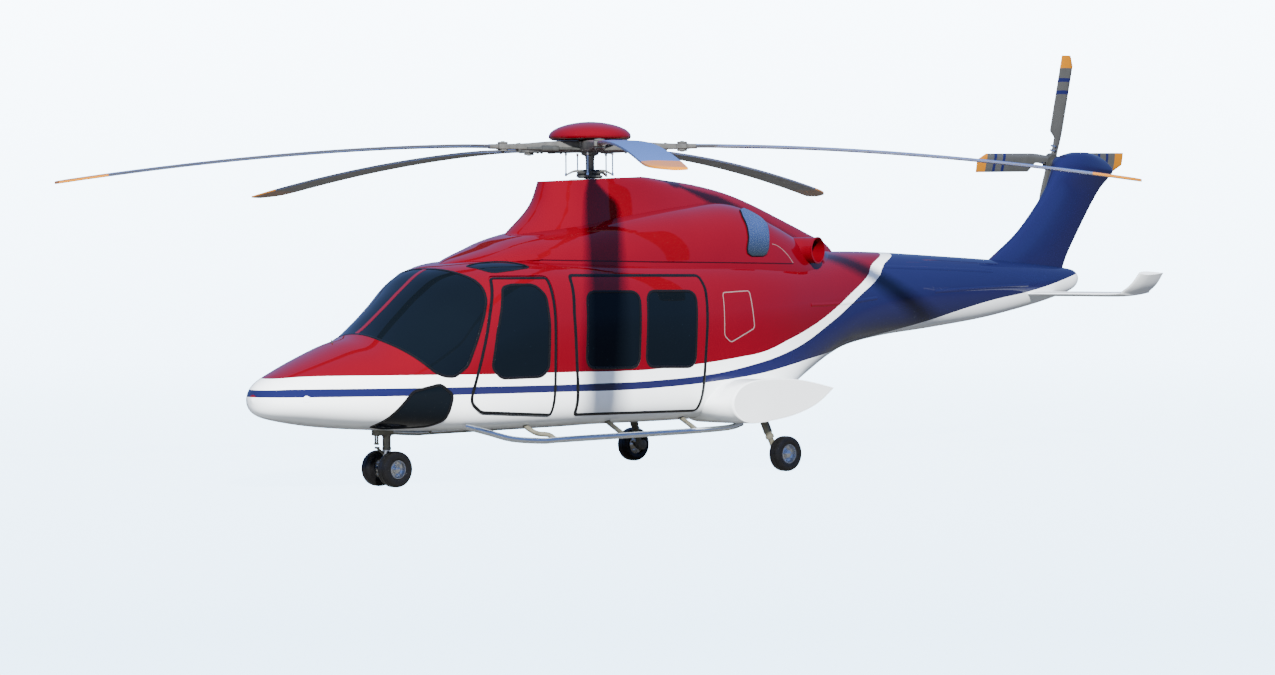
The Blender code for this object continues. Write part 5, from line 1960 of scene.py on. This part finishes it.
    def damper(self) -> Mesh:
        """Returns:
            The damper beside one arm, a stepped cylinder between two thin rods.
        """
        profile = (
            (0, 0.018), (0.255, 0.018), (0.262, 0.030), (0.270, 0.034), (0.330, 0.034), (0.334, 0.031),
            (0.345, 0.031), (0.349, 0.036), (0.450, 0.036), (0.458, 0.032), (0.465, 0.020), (0.63, 0.016),
        )
        axis = Vector((0.62, -0.070, 0.0)).normalized()
        return turned(profile, (0.17, 0.130, self.height - 0.020), axis, 28)

    def mast(self) -> None:
        """Make the mast, the swashplate and the pitch links."""
        body = Body.MAIN_ROTOR
        profile = (
            (0, 0.085), (0.38, 0.085), (0.39, 0.050), (0.61, 0.050), (0.62, 0.056), (0.64, 0.056),
            (0.66, 0.10), (0.81, 0.10),
        )
        shaft = turned(profile, (0, 0, self.mast_foot), UP)
        self.add("mast_shaft", shaft, HUB_METAL, body, ["rotor_mast"])
        plates = (
            (0, 0.13), (0.006, 0.145), (0.030, 0.145), (0.036, 0.120), (0.044, 0.120), (0.050, 0.150),
            (0.074, 0.150), (0.080, 0.070), (0.094, 0.062), (0.100, 0.052),
        )
        self.add("swashplate", turned(plates, (0, 0, self.swash_foot), UP, 60), DARK_METAL, body)
        for index in range(self.count):
            turn = self.turn(index, self.link_lead)
            self.add(f"swash_horn_{index + 1}", moved(self.horn(), turn), HUB_METAL, body)
            self.add(f"pitch_link_{index + 1}", moved(self.link(), turn), CHROME, body)

    def horn(self) -> Mesh:
        """Returns:
            One drooping arm of the swashplate along +X, flat and tapered.
        """
        shape = rounded(((1, -1), (1, 1), (-1, 1), (-1, -1)), 0.6, 3)
        # Distance out, height, half width, half thickness
        stations = (
            (0.06, 3.452, 0.030, 0.016), (0.17, 3.452, 0.024, 0.014), (0.235, 3.430, 0.019, 0.012),
            (0.288, 3.400, 0.013, 0.009),
        )
        rows = refined(stations, 4)
        return loft([[(r, a * half, z + b * thick) for a, b in shape] for r, z, half, thick in rows])

    def link(self) -> Mesh:
        """Returns:
            One thin pitch link with a rod end at each end.
        """
        r = self.link_radius
        end = ((0, 0.010), (0.006, 0.014), (0.030, 0.014), (0.038, 0.009))
        low, high = self.link_low, self.link_top
        return joined([
            turned(((0, 0.0085), (high - low, 0.0085)), (r, 0, low), UP, 16),
            turned(end, (r, 0, low), UP, 16),
            turned(end, (r, 0, high), DOWN, 16),
        ])


@dataclass
class TailRotor(Assembly):
    """Canted four-blade rotor on the fin's starboard side."""

    title: str = "tail rotor"
    radius: float = 1.439
    phase: float = math.radians(-1.3)
    chord: float = 0.25

    def build(self) -> None:
        """Make the hub and the blades."""
        body = Body.TAIL_ROTOR
        hub = Vector(TAIL_HUB)
        axis = Vector((0, -math.cos(TAIL_CANT), math.sin(TAIL_CANT)))
        up = Vector((0, math.sin(TAIL_CANT), math.cos(TAIL_CANT)))
        ahead = Vector(FORWARD)
        core = (
            (-0.0995, 0.048), (-0.035, 0.050), (-0.030, 0.112), (-0.022, 0.120), (0.042, 0.120),
            (0.050, 0.112), (0.056, 0.070), (0.090, 0.062), (0.098, 0.050), (0.100, 0.030),
        )
        self.add("tail_hub", turned(core, hub, axis), DARK_METAL, body, ["tail_rotor"])
        half = self.chord / 2
        section = (
            (1.0, 0.0), (0.7, 0.85), (0.3, 1.0), (-0.4, 0.7), (-1.0, 0.08), (-0.4, -0.7), (0.3, -1.0),
            (0.7, -0.85), (1.0, 0.0),
        )
        shape = refined(section, 3)[:-1]
        # Distance out, share of the chord ahead and behind, half thickness
        stations = (
            (0.06, 0.70, 0.15, 0.030), (0.30, 0.94, 0.05, 0.0225), (0.33, 0.955, 0.09, 0.0218),
            (0.42, 0.995, 0.93, 0.0184), (0.44, 1.0, 1.0, 0.018), (0.90, 1.0, 1.0, 0.015),
            (1.30, 1.0, 1.0, 0.012), (self.radius, 0.40, 1.0, 0.009),
        )
        for index in range(4):
            angle = self.phase + index * math.pi / 2
            out = up * math.cos(angle) - ahead * math.sin(angle)
            lead = -(ahead * math.cos(angle) + up * math.sin(angle))
            rings = []
            for r, front, rear, thick in stations:
                ring = []
                for a, t in shape:
                    reach = a * half * (front if a > 0 else rear)
                    ring.append(hub + out * r + lead * reach + axis * (t * thick))
                rings.append(ring)
            self.add(f"tail_blade_{index + 1}", loft(rings), TAIL_BLADE, body)
            bolt = joined([
                turned(((0, 0.014), (0.085, 0.014), (0.090, 0.010)), hub + out * r - axis * 0.042, axis, 12)
                for r in (0.16, 0.22)
            ])
            self.add(f"tail_blade_bolts_{index + 1}", bolt, CHROME, body)


@dataclass
class Empennage(Assembly):
    """Fin with the tail gearbox housing on top, and the two tailplanes."""

    title: str = "empennage"
    # Height, front, rear, half thickness
    levels: Rows = (
        (2.10, -6.20, -8.05, 0.085), (2.44, -6.74, -8.20, 0.100), (2.75, -7.22, -8.41, 0.100),
        (3.10, -7.60, -8.67, 0.100), (3.35, -7.82, -8.88, 0.110), (3.50, -7.91, -9.06, 0.140),
        (3.60, -7.97, -9.15, 0.165), (3.70, -8.01, -9.04, 0.168), (3.78, -8.13, -8.86, 0.145),
        (3.83, -8.34, -8.66, 0.085),
    )
    # Distance from the middle, lift, chord
    plane: Rows = (
        (0.10, 0.0, 0.636), (0.90, 0.0, 0.606), (1.62, 0.0, 0.575), (1.75, 0.04, 0.545), (1.88, 0.13, 0.515),
        (2.00, 0.265, 0.480),
    )
    plane_z: float = 1.972
    plane_front: float = -7.11
    plane_sweep: float = 0.083
    plane_half: float = 0.032
    tip_loss: float = 0.010
    tip_lean: float = 0.028

    def build(self) -> None:
        """Make the fin and the tailplanes."""
        half_shape = refined(((0, 0), (0.05, 0.55), (0.30, 1.0), (0.65, 0.8), (0.95, 0.25), (1.0, 0)), 5)
        shape = [*half_shape, *((a, -b) for a, b in reversed(half_shape[1:-1]))]
        rings = []
        for z, front, rear, half in refined(self.levels, 5):
            rings.append([(front - a * (front - rear), b * half, z) for a, b in shape])
        fin = cut_by_hull(loft(rings))
        axis = (0, -math.cos(TAIL_CANT), math.sin(TAIL_CANT))
        profile = ((-0.34, 0.085), (-0.30, 0.105), (-0.14, 0.110), (-0.11, 0.105), (-0.10, 0.09))
        housing = turned(profile, TAIL_HUB, axis)
        fin = boolean(fin, [housing], "UNION")
        self.add("fin_skin", fin, BLUE_PAINT, replaces=["fin"])
        top = refined(((0, 0), (0.08, 0.6), (0.35, 1.0), (0.75, 0.5), (1.0, 0.1)), 4)
        under = refined(((1.0, 0.1), (0.75, -0.5), (0.35, -1.0), (0.08, -0.6), (0, 0)), 4)
        rings = []
        for y, lift, chord in refined(self.plane, 5):
            front = self.plane_front - self.plane_sweep * y
            lean = min(max(lift / self.plane[-1][1], 0.0), 1.0)
            half = self.plane_half - self.tip_loss * lean
            rings.append([
                (front - a * chord, y - t * self.tip_lean * lean, self.plane_z + lift + t * half)
                for a, t in (*top, *under[1:-1])
            ])
        plane = cut_by_hull(loft(rings))
        self.pair("tailplane_skin", plane, WHITE_PAINT, replaces=["tailplane"])


@dataclass
class Sponsons(Assembly):
    """Fairings on the hull's sides that carry the main gear."""

    title: str = "sponsons"
    centre_x: float = -1.75
    centre_z: float = 0.86
    face_y: float = 1.425
    tip: Outline = (
        (-0.880, 0.796), (-0.925, 0.919), (-1.055, 1.016), (-1.335, 1.069), (-1.935, 1.051), (-2.494, 0.941),
        (-2.222, 0.766), (-1.852, 0.647), (-1.393, 0.584), (-1.113, 0.584), (-0.944, 0.670),
    )
    base: Outline = (
        (-0.790, 0.790), (-0.860, 0.900), (-1.020, 1.005), (-1.330, 1.075), (-1.960, 1.058), (-2.580, 0.950),
        (-2.290, 0.770), (-1.880, 0.645), (-1.380, 0.575), (-1.070, 0.575), (-0.870, 0.665),
    )

    def smooth(self, outline: Outline) -> list[Pair]:
        """Outline on a smooth closed curve, sharp at its rear point.

        Args:
            outline: Its points, of which the sixth is the rear one.

        Returns:
            The finer outline.
        """
        start = 5
        line = [*outline[start:], *outline[:start + 1]]
        return [(a, b) for a, b in refined(line, 5)][:-1]

    def drawn_in(self, x: float, z: float, along: float, upright: float) -> Pair:
        """Point drawn towards the outline's centre.

        Args:
            x: Its distance forward.
            z: Its height.
            along: Share of the length that is kept.
            upright: Share of the height that is kept.

        Returns:
            The new point.
        """
        return self.centre_x + (x - self.centre_x) * along, self.centre_z + (z - self.centre_z) * upright

    def build(self) -> None:
        """Make both sponsons and their outer faces."""
        tip, base = self.smooth(self.tip), self.smooth(self.base)
        # Distance from the middle, share of the base outline, size
        levels = (
            (0.60, 1.0, 1.0), (1.05, 0.9, 1.0), (1.25, 0.45, 1.0), (1.36, 0.10, 1.0), (1.41, 0.0, 1.0),
            (self.face_y, 0.0, 0.985),
        )
        rings = []
        for y, share, shrink in refined(levels, 3):
            ring = []
            for (tip_x, tip_z), (root_x, root_z) in zip(tip, base):
                x = tip_x + (root_x - tip_x) * share
                z = tip_z + (root_z - tip_z) * share
                x, z = self.drawn_in(x, z, shrink, shrink)
                ring.append((x, min(y, self.face_y), z))
            rings.append(ring)
        body = cut_by_hull(loft(rings))
        self.pair("sponson_skin", body, WHITE_PAINT, replaces=["sponson"])
        face = [self.drawn_in(x, z, 0.972, 0.955) for x, z in tip]
        plate = prism(face, self.face_y - 0.002, self.face_y + 0.003)
        self.pair("sponson_face", plate, PALE_PAINT)


@dataclass
class Wheel:
    """One wheel about a crosswise axle."""

    radius: float
    width: float
    rim: float
    bore: float = 0.0305
    groove: float = 0.006
    bolt_count: int = 8
    bolt_radius: float = 0.0085

    def tyre(self, centre: Sequence[float]) -> Mesh:
        """Tyre with two grooves round its tread.

        Args:
            centre: Middle of the wheel.

        Returns:
            The mesh.
        """
        half, r = self.width / 2, self.radius
        wall = (
            (-0.70 * half, self.rim), (-0.93 * half, self.rim + 0.012), (-0.99 * half, r * 0.78),
            (-0.93 * half, r * 0.90), (-0.74 * half, r * 0.965), (-0.52 * half, r * 0.990),
        )
        side = refined(wall, 4)
        edge, deep = r * 0.997, r - self.groove
        tread = []
        for at in (-0.36 * half, 0.36 * half):
            tread += [(at - 0.004, edge), (at - 0.003, deep), (at + 0.003, deep), (at + 0.004, edge)]
        tread.insert(4, (0.0, r))
        profile = [*side, *tread, *((-a, b) for a, b in reversed(side))]
        return turned(profile, centre, PORT, 96, ring=True)

    def disc(self, centre: Sequence[float], outward: float) -> Mesh:
        """Dished rim with its flange, hub and bolts.

        Args:
            centre: Middle of the wheel.
            outward: Sign of Y on the rim's outer side.

        Returns:
            The mesh.
        """
        half, rim = self.width / 2, self.rim
        outer = (
            (0.74 * half, rim), (0.80 * half, rim * 0.985), (0.80 * half, rim * 0.93),
            (0.70 * half, rim * 0.90), (0.34 * half, rim * 0.80), (0.24 * half, rim * 0.62),
            (0.30 * half, rim * 0.50), (0.52 * half, rim * 0.46), (0.56 * half, rim * 0.42),
            (0.56 * half, self.bore),
        )
        inner = (
            (-0.50 * half, self.bore), (-0.30 * half, rim * 0.55), (-0.70 * half, rim * 0.88),
            (-0.78 * half, rim * 0.93), (-0.74 * half, rim),
        )
        profile = [(a * outward, b) for a, b in (*outer, *inner)]
        disc = turned(profile, centre, PORT, 72, ring=True)
        bolts = []
        bolt = ((0, self.bolt_radius), (0.012, self.bolt_radius), (0.015, 0.006))
        for index in range(self.bolt_count):
            angle = 2 * math.pi * index / self.bolt_count
            place = Vector(centre) + Vector((math.cos(angle), 0, math.sin(angle))) * rim * 0.70
            place += Vector((0, outward * 0.26 * half, 0))
            bolts.append(turned(bolt, place, (0, outward, 0), 6))
        return joined([disc, *bolts])

    def cap(self, radius: float, shoulder: float, centre: Triple, outward: int) -> Mesh:
        """Low cap over the end of the axle.

        Args:
            radius: The cap's radius where it meets the rim.
            shoulder: Its radius where its outer edge is.
            centre: Middle of the cap's foot.
            outward: Sign of Y on the rim's outer side.

        Returns:
            The mesh.
        """
        profile = ((0, radius), (0.012, radius), (0.020, shoulder), (0.022, 0.004))
        return turned(profile, centre, (0, outward, 0), 32)


@dataclass
class NoseGear(Assembly):
    """Steered twin nose wheels on an upright leg."""

    title: str = "nose gear"
    axle: Triple = (2.896, 0.0, 0.196)
    wheel: Wheel = field(default_factory=lambda: Wheel(0.196, 0.150, 0.100))
    track: float = 0.150
    axle_half: float = 0.200
    axle_radius: float = 0.0195
    cap_y: float = 0.192
    leg_ground_reflection_fade_z: float = 0.40
    link_lead: float = 0.134
    link_top_z: float = 0.566
    link_middle_z: float = 0.470
    link_low_z: float = 0.430

    def pin(self, half: float, radius: float, place: Triple, edge: float = 0.004) -> Mesh:
        """Crosswise pin of the torque link, narrower at both ends.

        Args:
            half: Half of its length.
            radius: Its radius.
            place: Its middle.
            edge: How much narrower its ends are.

        Returns:
            The mesh.
        """
        shank = half - 0.002
        profile = ((-half, radius - edge), (-shank, radius), (shank, radius), (half, radius - edge))
        return turned(profile, place, PORT, 18)

    def leg(self) -> None:
        """Make the upright leg with its bracket, and the upper half of the torque link."""
        x, y, _ = self.axle
        profile = (
            (0, 0.043), (0.003, 0.049), (0.026, 0.049), (0.030, 0.045), (0.140, 0.045), (0.146, 0.052),
            (0.30, 0.052),
        )
        cylinder = turned(profile, (x, y, self.leg_ground_reflection_fade_z), UP)
        bracket = block((x - 0.060, -0.055, 0.558), (x + 0.166, 0.055, 0.70), 0.010, 3)
        body = cut_by_hull(boolean(bracket, [cylinder], "UNION"))
        self.add("nose_leg_bracket", body, OLIVE_METAL, replaces=["nose_leg"])
        link_x = x + self.link_lead
        links = []
        for side in Side:
            y_link = side.value * 0.020
            ends = ((link_x, y_link, self.link_top_z + 0.009), (link_x, y_link, self.link_middle_z))
            links.append(sweep(ends, circle(0.011, 14)))
        links.append(self.pin(0.036, 0.012, (link_x, 0, self.link_middle_z)))
        links.append(self.pin(0.046, 0.013, (link_x, 0, self.link_top_z)))
        self.add("nose_upper_link", joined(links), OLIVE_METAL)

    def fork(self) -> None:
        """Make the steered fork and the lower half of the torque link."""
        x, y, z = self.axle
        profile = (
            (0, 0.030), (0.128, 0.030), (0.134, 0.050), (0.155, 0.050), (0.158, 0.046), (0.1995, 0.046),
        )
        piston = turned(profile, (x, y, 0.20), UP)
        hub = (
            (-0.045, 0.030), (-0.044, 0.048), (-0.040, 0.050), (0.040, 0.050), (0.044, 0.048),
            (0.045, 0.030),
        )
        knuckle = turned(hub, (x, y, z), PORT)
        self.add("nose_fork_body", joined([piston, knuckle]), CHROME, Body.NOSE_STEERING, ["nose_fork"])
        top = x + self.link_lead - 0.004
        rod = sweep(((top, 0, self.link_low_z), (x + 0.03, 0, 0.350)), circle(0.014, 16))
        pin = self.pin(0.034, 0.013, (top - 0.004, 0, self.link_low_z - 0.002), 0.005)
        self.add("nose_lower_link", joined([rod, pin]), OLIVE_METAL, Body.NOSE_STEERING)

    def build(self) -> None:
        """Make the leg, fork and wheels."""
        self.leg()
        self.fork()
        x, _, z = self.axle
        body = Body.NOSE_WHEELS
        bar = ((-self.axle_half, self.axle_radius), (self.axle_half, self.axle_radius))
        parts = [turned(bar, self.axle, PORT, 24)]
        for side in Side:
            centre = (x, side.value * self.track, z)
            tyre = self.wheel.tyre(centre)
            self.add(f"nose_tyre_{side.word}_tread", tyre, TYRE, body, [f"nose_tyre_{side.word}"])
            parts.append(self.wheel.disc(centre, side.value))
            parts.append(self.wheel.cap(0.034, 0.024, (x, side.value * self.cap_y, z), side.value))
        self.add("nose_rims_and_axle", joined(parts), RIM_METAL, body, ["nose_wheel_rims"])


@dataclass
class MainGear(Assembly):
    """Trailing legs out of the sponsons, each with one wheel on a stub axle."""

    title: str = "main gear"
    axle: Triple = (-1.785, 1.333, 0.203)
    wheel: Wheel = field(default_factory=lambda: Wheel(0.203, 0.165, 0.110))
    leg_radius: float = 0.0495

    def build(self) -> None:
        """Make the legs and wheels."""
        x, y, z = self.axle
        inner = y - self.wheel.width / 2 - 0.055
        top, foot = Vector((x + 0.26, inner - 0.06, 0.80)), Vector((x + 0.02, inner, z))
        line = foot - top
        length = line.length
        outer, neck, piston = self.leg_radius, 0.042, 0.034
        profile = (
            (0, outer), (0.60, outer), (0.61, neck), (0.64, neck), (0.65, outer), (0.70, outer),
            (0.71, piston), (1, piston),
        )
        cylinder = turned([(share * length, r) for share, r in profile], top, line.normalized())
        hub = ((-0.045, 0.050), (-0.041, 0.060), (0.041, 0.060), (0.045, 0.050))
        knuckle = turned(hub, (x, inner, z), PORT)
        stub = turned(((0.0, 0.030), (0.195, 0.030)), (x, inner, z), PORT, 28)
        self.pair("main_leg_strut", joined([cylinder, knuckle, stub]), OLIVE_METAL, replaces=["main_leg"])
        for side, body in ((Side.LEFT, Body.MAIN_WHEEL_LEFT), (Side.RIGHT, Body.MAIN_WHEEL_RIGHT)):
            centre = (x, side.value * y, z)
            tyre = self.wheel.tyre(centre)
            self.add(f"main_tyre_{side.word}_tread", tyre, TYRE, body, [f"main_tyre_{side.word}"])
            cap = self.wheel.cap(0.040, 0.028, (x, side.value * (y + 0.046), z), side.value)
            disc = joined([self.wheel.disc(centre, side.value), cap])
            self.add(f"main_rim_{side.word}_disc", disc, RIM_METAL, body, [f"main_rim_{side.word}"])


@dataclass
class StepRails(Assembly):
    """Step rail along each side below the doors, on three struts."""

    title: str = "step rails"
    path: Sequence[Triple] = (
        (2.50, 0.88, 0.67), (2.30, 1.02, 0.60), (2.05, 1.12, 0.525), (1.66, 1.14, 0.490),
        (-0.49, 1.14, 0.508), (-1.07, 1.14, 0.524), (-1.28, 1.14, 0.565),
    )
    radius: float = 0.033
    strut: float = 0.027
    bracket: Sequence[Triple] = (
        (1.465, 1.14, 0.492), (1.500, 1.06, 0.545), (1.580, 0.96, 0.560), (1.630, 0.86, 0.615),
        (1.640, 0.80, 0.66),
    )
    struts: Sequence[Sequence[Triple]] = (
        ((0.485, 1.14, 0.500), (0.475, 0.80, 0.66)), ((-0.600, 1.14, 0.509), (-0.620, 0.80, 0.66)),
    )

    def build(self) -> None:
        """Make the rails and their struts."""
        line = []
        for start, end in zip(self.path, self.path[1:]):
            line.append(start)
            if math.dist(start, end) > 1:
                for share in (0.1, 0.5, 0.9):
                    line.append(tuple(a + (b - a) * share for a, b in zip(start, end)))
        line.append(self.path[-1])
        rail = cut_by_hull(sweep(refined(line, 4), circle(self.radius, 28)))
        self.pair("step_rail_tube", rail, RAIL_STEEL, replaces=["step_rail"])
        for index, path in enumerate((*self.struts, refined(self.bracket, 5))):
            arm = cut_by_hull(sweep(path, circle(self.strut, 20)))
            self.pair(f"step_rail_strut_{index + 1}", arm, OLIVE_METAL)


@dataclass
class Interior(Assembly):
    """Seats, bench and panel, seen only faintly through the dark glass."""

    title: str = "interior"
    seat_y: float = 0.44
    seat_half: float = 0.22
    bench_half: float = 0.215
    crown: float = 0.25

    def cushion(self, low: Triple, high: Triple) -> Mesh:
        """Crowned cushion whose sides pull in between its corners.

        Args:
            low: Lowest corner.
            high: Highest corner.

        Returns:
            The closed mesh.
        """
        bm = block(low, high)
        bmesh.ops.subdivide_edges(bm, edges=bm.edges[:], cuts=9, use_grid_fill=True)
        centre = (Vector(low) + Vector(high)) / 2
        half = (Vector(high) - Vector(low)) / 2
        for vert in bm.verts:
            part = Vector(((vert.co[i] - centre[i]) / half[i] for i in range(3)))
            place = []
            for i in range(3):
                first, second = part[(i + 1) % 3], part[(i + 2) % 3]
                edge = 1 - self.crown * 0.28 * (first ** 4 + second ** 4) / 2
                waist = 1 - self.crown * 0.10 * (1 - first ** 2) * abs(part[i]) ** 6
                place.append(centre[i] + part[i] * half[i] * edge * waist)
            vert.co = Vector(place)
        return bm

    def build(self) -> None:
        """Make the cushions and refinish the nodes that stay."""
        for side in Side:
            middle = side.value * self.seat_y
            low, high = middle - self.seat_half, middle + self.seat_half
            seat = self.cushion((1.56, low, 0.93), (2.05, high, 1.12))
            self.soft(f"pilot_seat_cushion_{side.word}", seat, [f"pilot_seat_{side.word}"])
            back = self.cushion((1.45, low, 1.05), (1.575, high, 1.80))
            self.soft(f"pilot_seat_back_{side.word}", back, [])
            box = block((1.58, low + 0.03, 0.701), (2.00, high - 0.03, 0.93), 0.012)
            self.add(f"pilot_seat_box_{side.word}", box, CABIN_PLASTIC)
        for index, middle in enumerate((-self.seat_y, 0.0, self.seat_y)):
            low, high = middle - self.bench_half, middle + self.bench_half
            seat = self.cushion((-0.745, low, 0.95), (-0.35, high, 1.12))
            self.soft(f"bench_cushion_{index + 1}", seat, ["cabin_bench"] if index == 0 else [])
            back = self.cushion((-0.895, low, 1.02), (-0.755, high, 1.80))
            self.soft(f"bench_back_{index + 1}", back, [])
        self.add("bench_box", block((-0.85, -0.65, 0.701), (-0.37, 0.65, 0.95), 0.012), CABIN_PLASTIC)
        plain = {
            "instrument_panel": CABIN_PLASTIC, "engine_left": ENGINE_METAL, "engine_right": ENGINE_METAL,
            "main_gearbox": ENGINE_METAL,
        }
        for name, finish in plain.items():
            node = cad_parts[name]
            node.data.materials.clear()
            node.data.materials.append(finish.material())
            log.info("%s: %s keeps its shape", self.title, name)

    def soft(self, name: str, bm: Mesh, replaces: Sequence[str]) -> None:
        """Args:
            name: The piece's name.
            bm: Its mesh, which is freed.
            replaces: Nodes it stands for.
        """
        self.add(name, bm, SEAT_CLOTH, replaces=replaces, sharp=60)


SUN_PLACE = (19.0, 29.2, 20.0)
SUN_AIM = (-1.0, 0.0, 2.0)
SUN_COLOR = (1.0, 0.985, 0.96)


@dataclass(frozen=True)
class Lamp:
    """One square light: its place and aim about the mast, its width in metres and its power in watts."""

    name: str
    place: Triple
    aim: Triple
    size: float
    power: float
    color: Triple
    mirrored: bool = False


@dataclass
class Studio:
    """Pale floor, a sunlike key light with softer ones round it, and the camera."""

    eye: Triple = (22.14701, 26.28495, 2.39824)
    yaw: float = -2.2864
    pitch: float = -0.02466
    roll: float = -0.00599
    lens: float = 84.99
    backdrop_low: Triple = (0.30, 0.45, 0.60)
    backdrop_high: Triple = (0.85, 1.0, 1.15)
    backdrop_strength: float = 11.0
    ground: Triple = (0.13, 0.12, 0.09)
    sky: Triple = (0.22, 0.36, 0.85)
    surround_strength: float = 0.85
    backdrop_reach: float = 0.12
    surround_reach: float = 0.10
    floor_radius: float = 120.0
    floor_color: Triple = (0.80, 0.825, 0.85)
    floor_share: float = 0.12
    fade_from: float = 4.0
    fade_to: float = 45.0
    lamps: Sequence[Lamp] = (
        Lamp("key", SUN_PLACE, SUN_AIM, 1.8, 85000.0, SUN_COLOR),
        Lamp("glint", SUN_PLACE, SUN_AIM, 0.5, 500.0, SUN_COLOR, mirrored=True),
        Lamp("sky", (-1.0, 3.0, 14.0), (-1.0, 0, 1.5), 12.0, 900.0, (0.80, 0.90, 1.0)),
        Lamp("fill", (18.0, 4.0, 4.0), (1, 0, 1.5), 6.0, 2200.0, (0.93, 0.97, 1.0)),
    )

    def build(self) -> None:
        """Make the camera, the lights and the floor."""
        self.camera()
        self.world()
        self.floor()
        for lamp in self.lamps:
            self.light(lamp)

    def camera(self) -> None:
        """Place the camera at the photograph's viewing angle."""
        data = bpy.data.cameras.new("camera")
        data.sensor_width = 36.0
        data.lens = self.lens
        data.clip_end = 500.0
        obj = bpy.data.objects.new("camera", data)
        level = math.cos(self.pitch)
        look = Vector((level * math.cos(self.yaw), level * math.sin(self.yaw), math.sin(self.pitch)))
        turn = look.to_track_quat("-Z", "Y").to_matrix() @ Matrix.Rotation(self.roll, 3, "Z")
        obj.matrix_world = Matrix.Translation(Vector(self.eye) + MAST) @ turn.to_4x4()
        bpy.context.scene.collection.objects.link(obj)
        bpy.context.scene.camera = obj

    def world(self) -> None:
        """Make a pale backdrop, a little bluer towards the ground, and a dimmer surround that lights."""
        world = bpy.data.worlds.new("studio")
        world.use_nodes = True
        tree = world.node_tree
        where = tree.nodes.new("ShaderNodeTexCoord")
        parts = tree.nodes.new("ShaderNodeSeparateXYZ")
        tree.links.new(where.outputs["Generated"], parts.inputs[0])
        ramps = []
        tones = (
            (self.backdrop_reach, self.backdrop_low, self.backdrop_high),
            (self.surround_reach, self.ground, self.sky),
        )
        for reach, low, high in tones:
            shift = tree.nodes.new("ShaderNodeMapRange")
            shift.inputs["From Min"].default_value = -reach
            shift.inputs["From Max"].default_value = reach
            tree.links.new(parts.outputs["Z"], shift.inputs["Value"])
            ramp = tree.nodes.new("ShaderNodeValToRGB")
            tree.links.new(shift.outputs[0], ramp.inputs[0])
            ramp.color_ramp.elements[0].color = (*low, 1)
            ramp.color_ramp.elements[1].color = (*high, 1)
            ramps.append(ramp.outputs[0])
        shown = tree.nodes["Background"]
        lit = tree.nodes.new("ShaderNodeBackground")
        shown.inputs["Strength"].default_value = self.backdrop_strength
        lit.inputs["Strength"].default_value = self.surround_strength
        tree.links.new(ramps[0], shown.inputs["Color"])
        tree.links.new(ramps[1], lit.inputs["Color"])
        path = tree.nodes.new("ShaderNodeLightPath")
        mix = tree.nodes.new("ShaderNodeMixShader")
        tree.links.new(path.outputs["Is Camera Ray"], mix.inputs[0])
        tree.links.new(lit.outputs[0], mix.inputs[1])
        tree.links.new(shown.outputs[0], mix.inputs[2])
        tree.links.new(mix.outputs[0], tree.nodes["World Output"].inputs["Surface"])
        bpy.context.scene.world = world

    def floor(self) -> None:
        """Make the pale floor, which fades out far from the helicopter."""
        bm = bmesh.new()
        bmesh.ops.create_circle(bm, cap_ends=True, radius=self.floor_radius, segments=96)
        mesh = bpy.data.meshes.new("floor")
        bm.to_mesh(mesh)
        bm.free()
        obj = bpy.data.objects.new("floor", mesh)
        obj.location = (0, 0, -0.001)
        bpy.context.scene.collection.objects.link(obj)
        g = Graph("pale floor")
        length = g.add("ShaderNodeVectorMath", operation="LENGTH")
        g.feed(length.inputs[0], g.place())
        fade = g.add("ShaderNodeMapRange", interpolation_type="SMOOTHSTEP")
        ends = {
            "From Min": self.fade_from, "From Max": self.fade_to, "To Min": self.floor_share, "To Max": 0.0,
        }
        for name, number in ends.items():
            fade.inputs[name].default_value = number
        g.feed(fade.inputs["Value"], length.outputs["Value"])
        g.feed(g.shader.inputs["Alpha"], fade.outputs[0])
        g.color(g.tinted(self.floor_color, 0.01, 0.2))
        g.fix(Roughness=0.9)
        mesh.materials.append(g.material)

    def light(self, lamp: Lamp) -> None:
        """Add one square light.

        Args:
            lamp: Its place, size and colour.
        """
        data = bpy.data.lights.new(lamp.name, "AREA")
        data.size = lamp.size
        data.energy = lamp.power
        data.color = lamp.color
        obj = bpy.data.objects.new(lamp.name, data)
        obj.visible_glossy = lamp.mirrored
        obj.location = Vector(lamp.place) + MAST
        turn = (Vector(lamp.aim) - Vector(lamp.place)).to_track_quat("-Z", "Y")
        obj.rotation_euler = turn.to_euler()
        bpy.context.scene.collection.objects.link(obj)


def main() -> None:
    """Build the studio and every assembly."""
    Studio().build()
    assemblies: Sequence[Assembly] = (
        Cabin(), RearFuselage(), Cowling(), MainRotor(), TailRotor(), Empennage(), Sponsons(), StepRails(),
        NoseGear(), MainGear(), Interior(),
    )
    for assembly in assemblies:
        assembly.build()


if __name__ == "__main__":
    main()
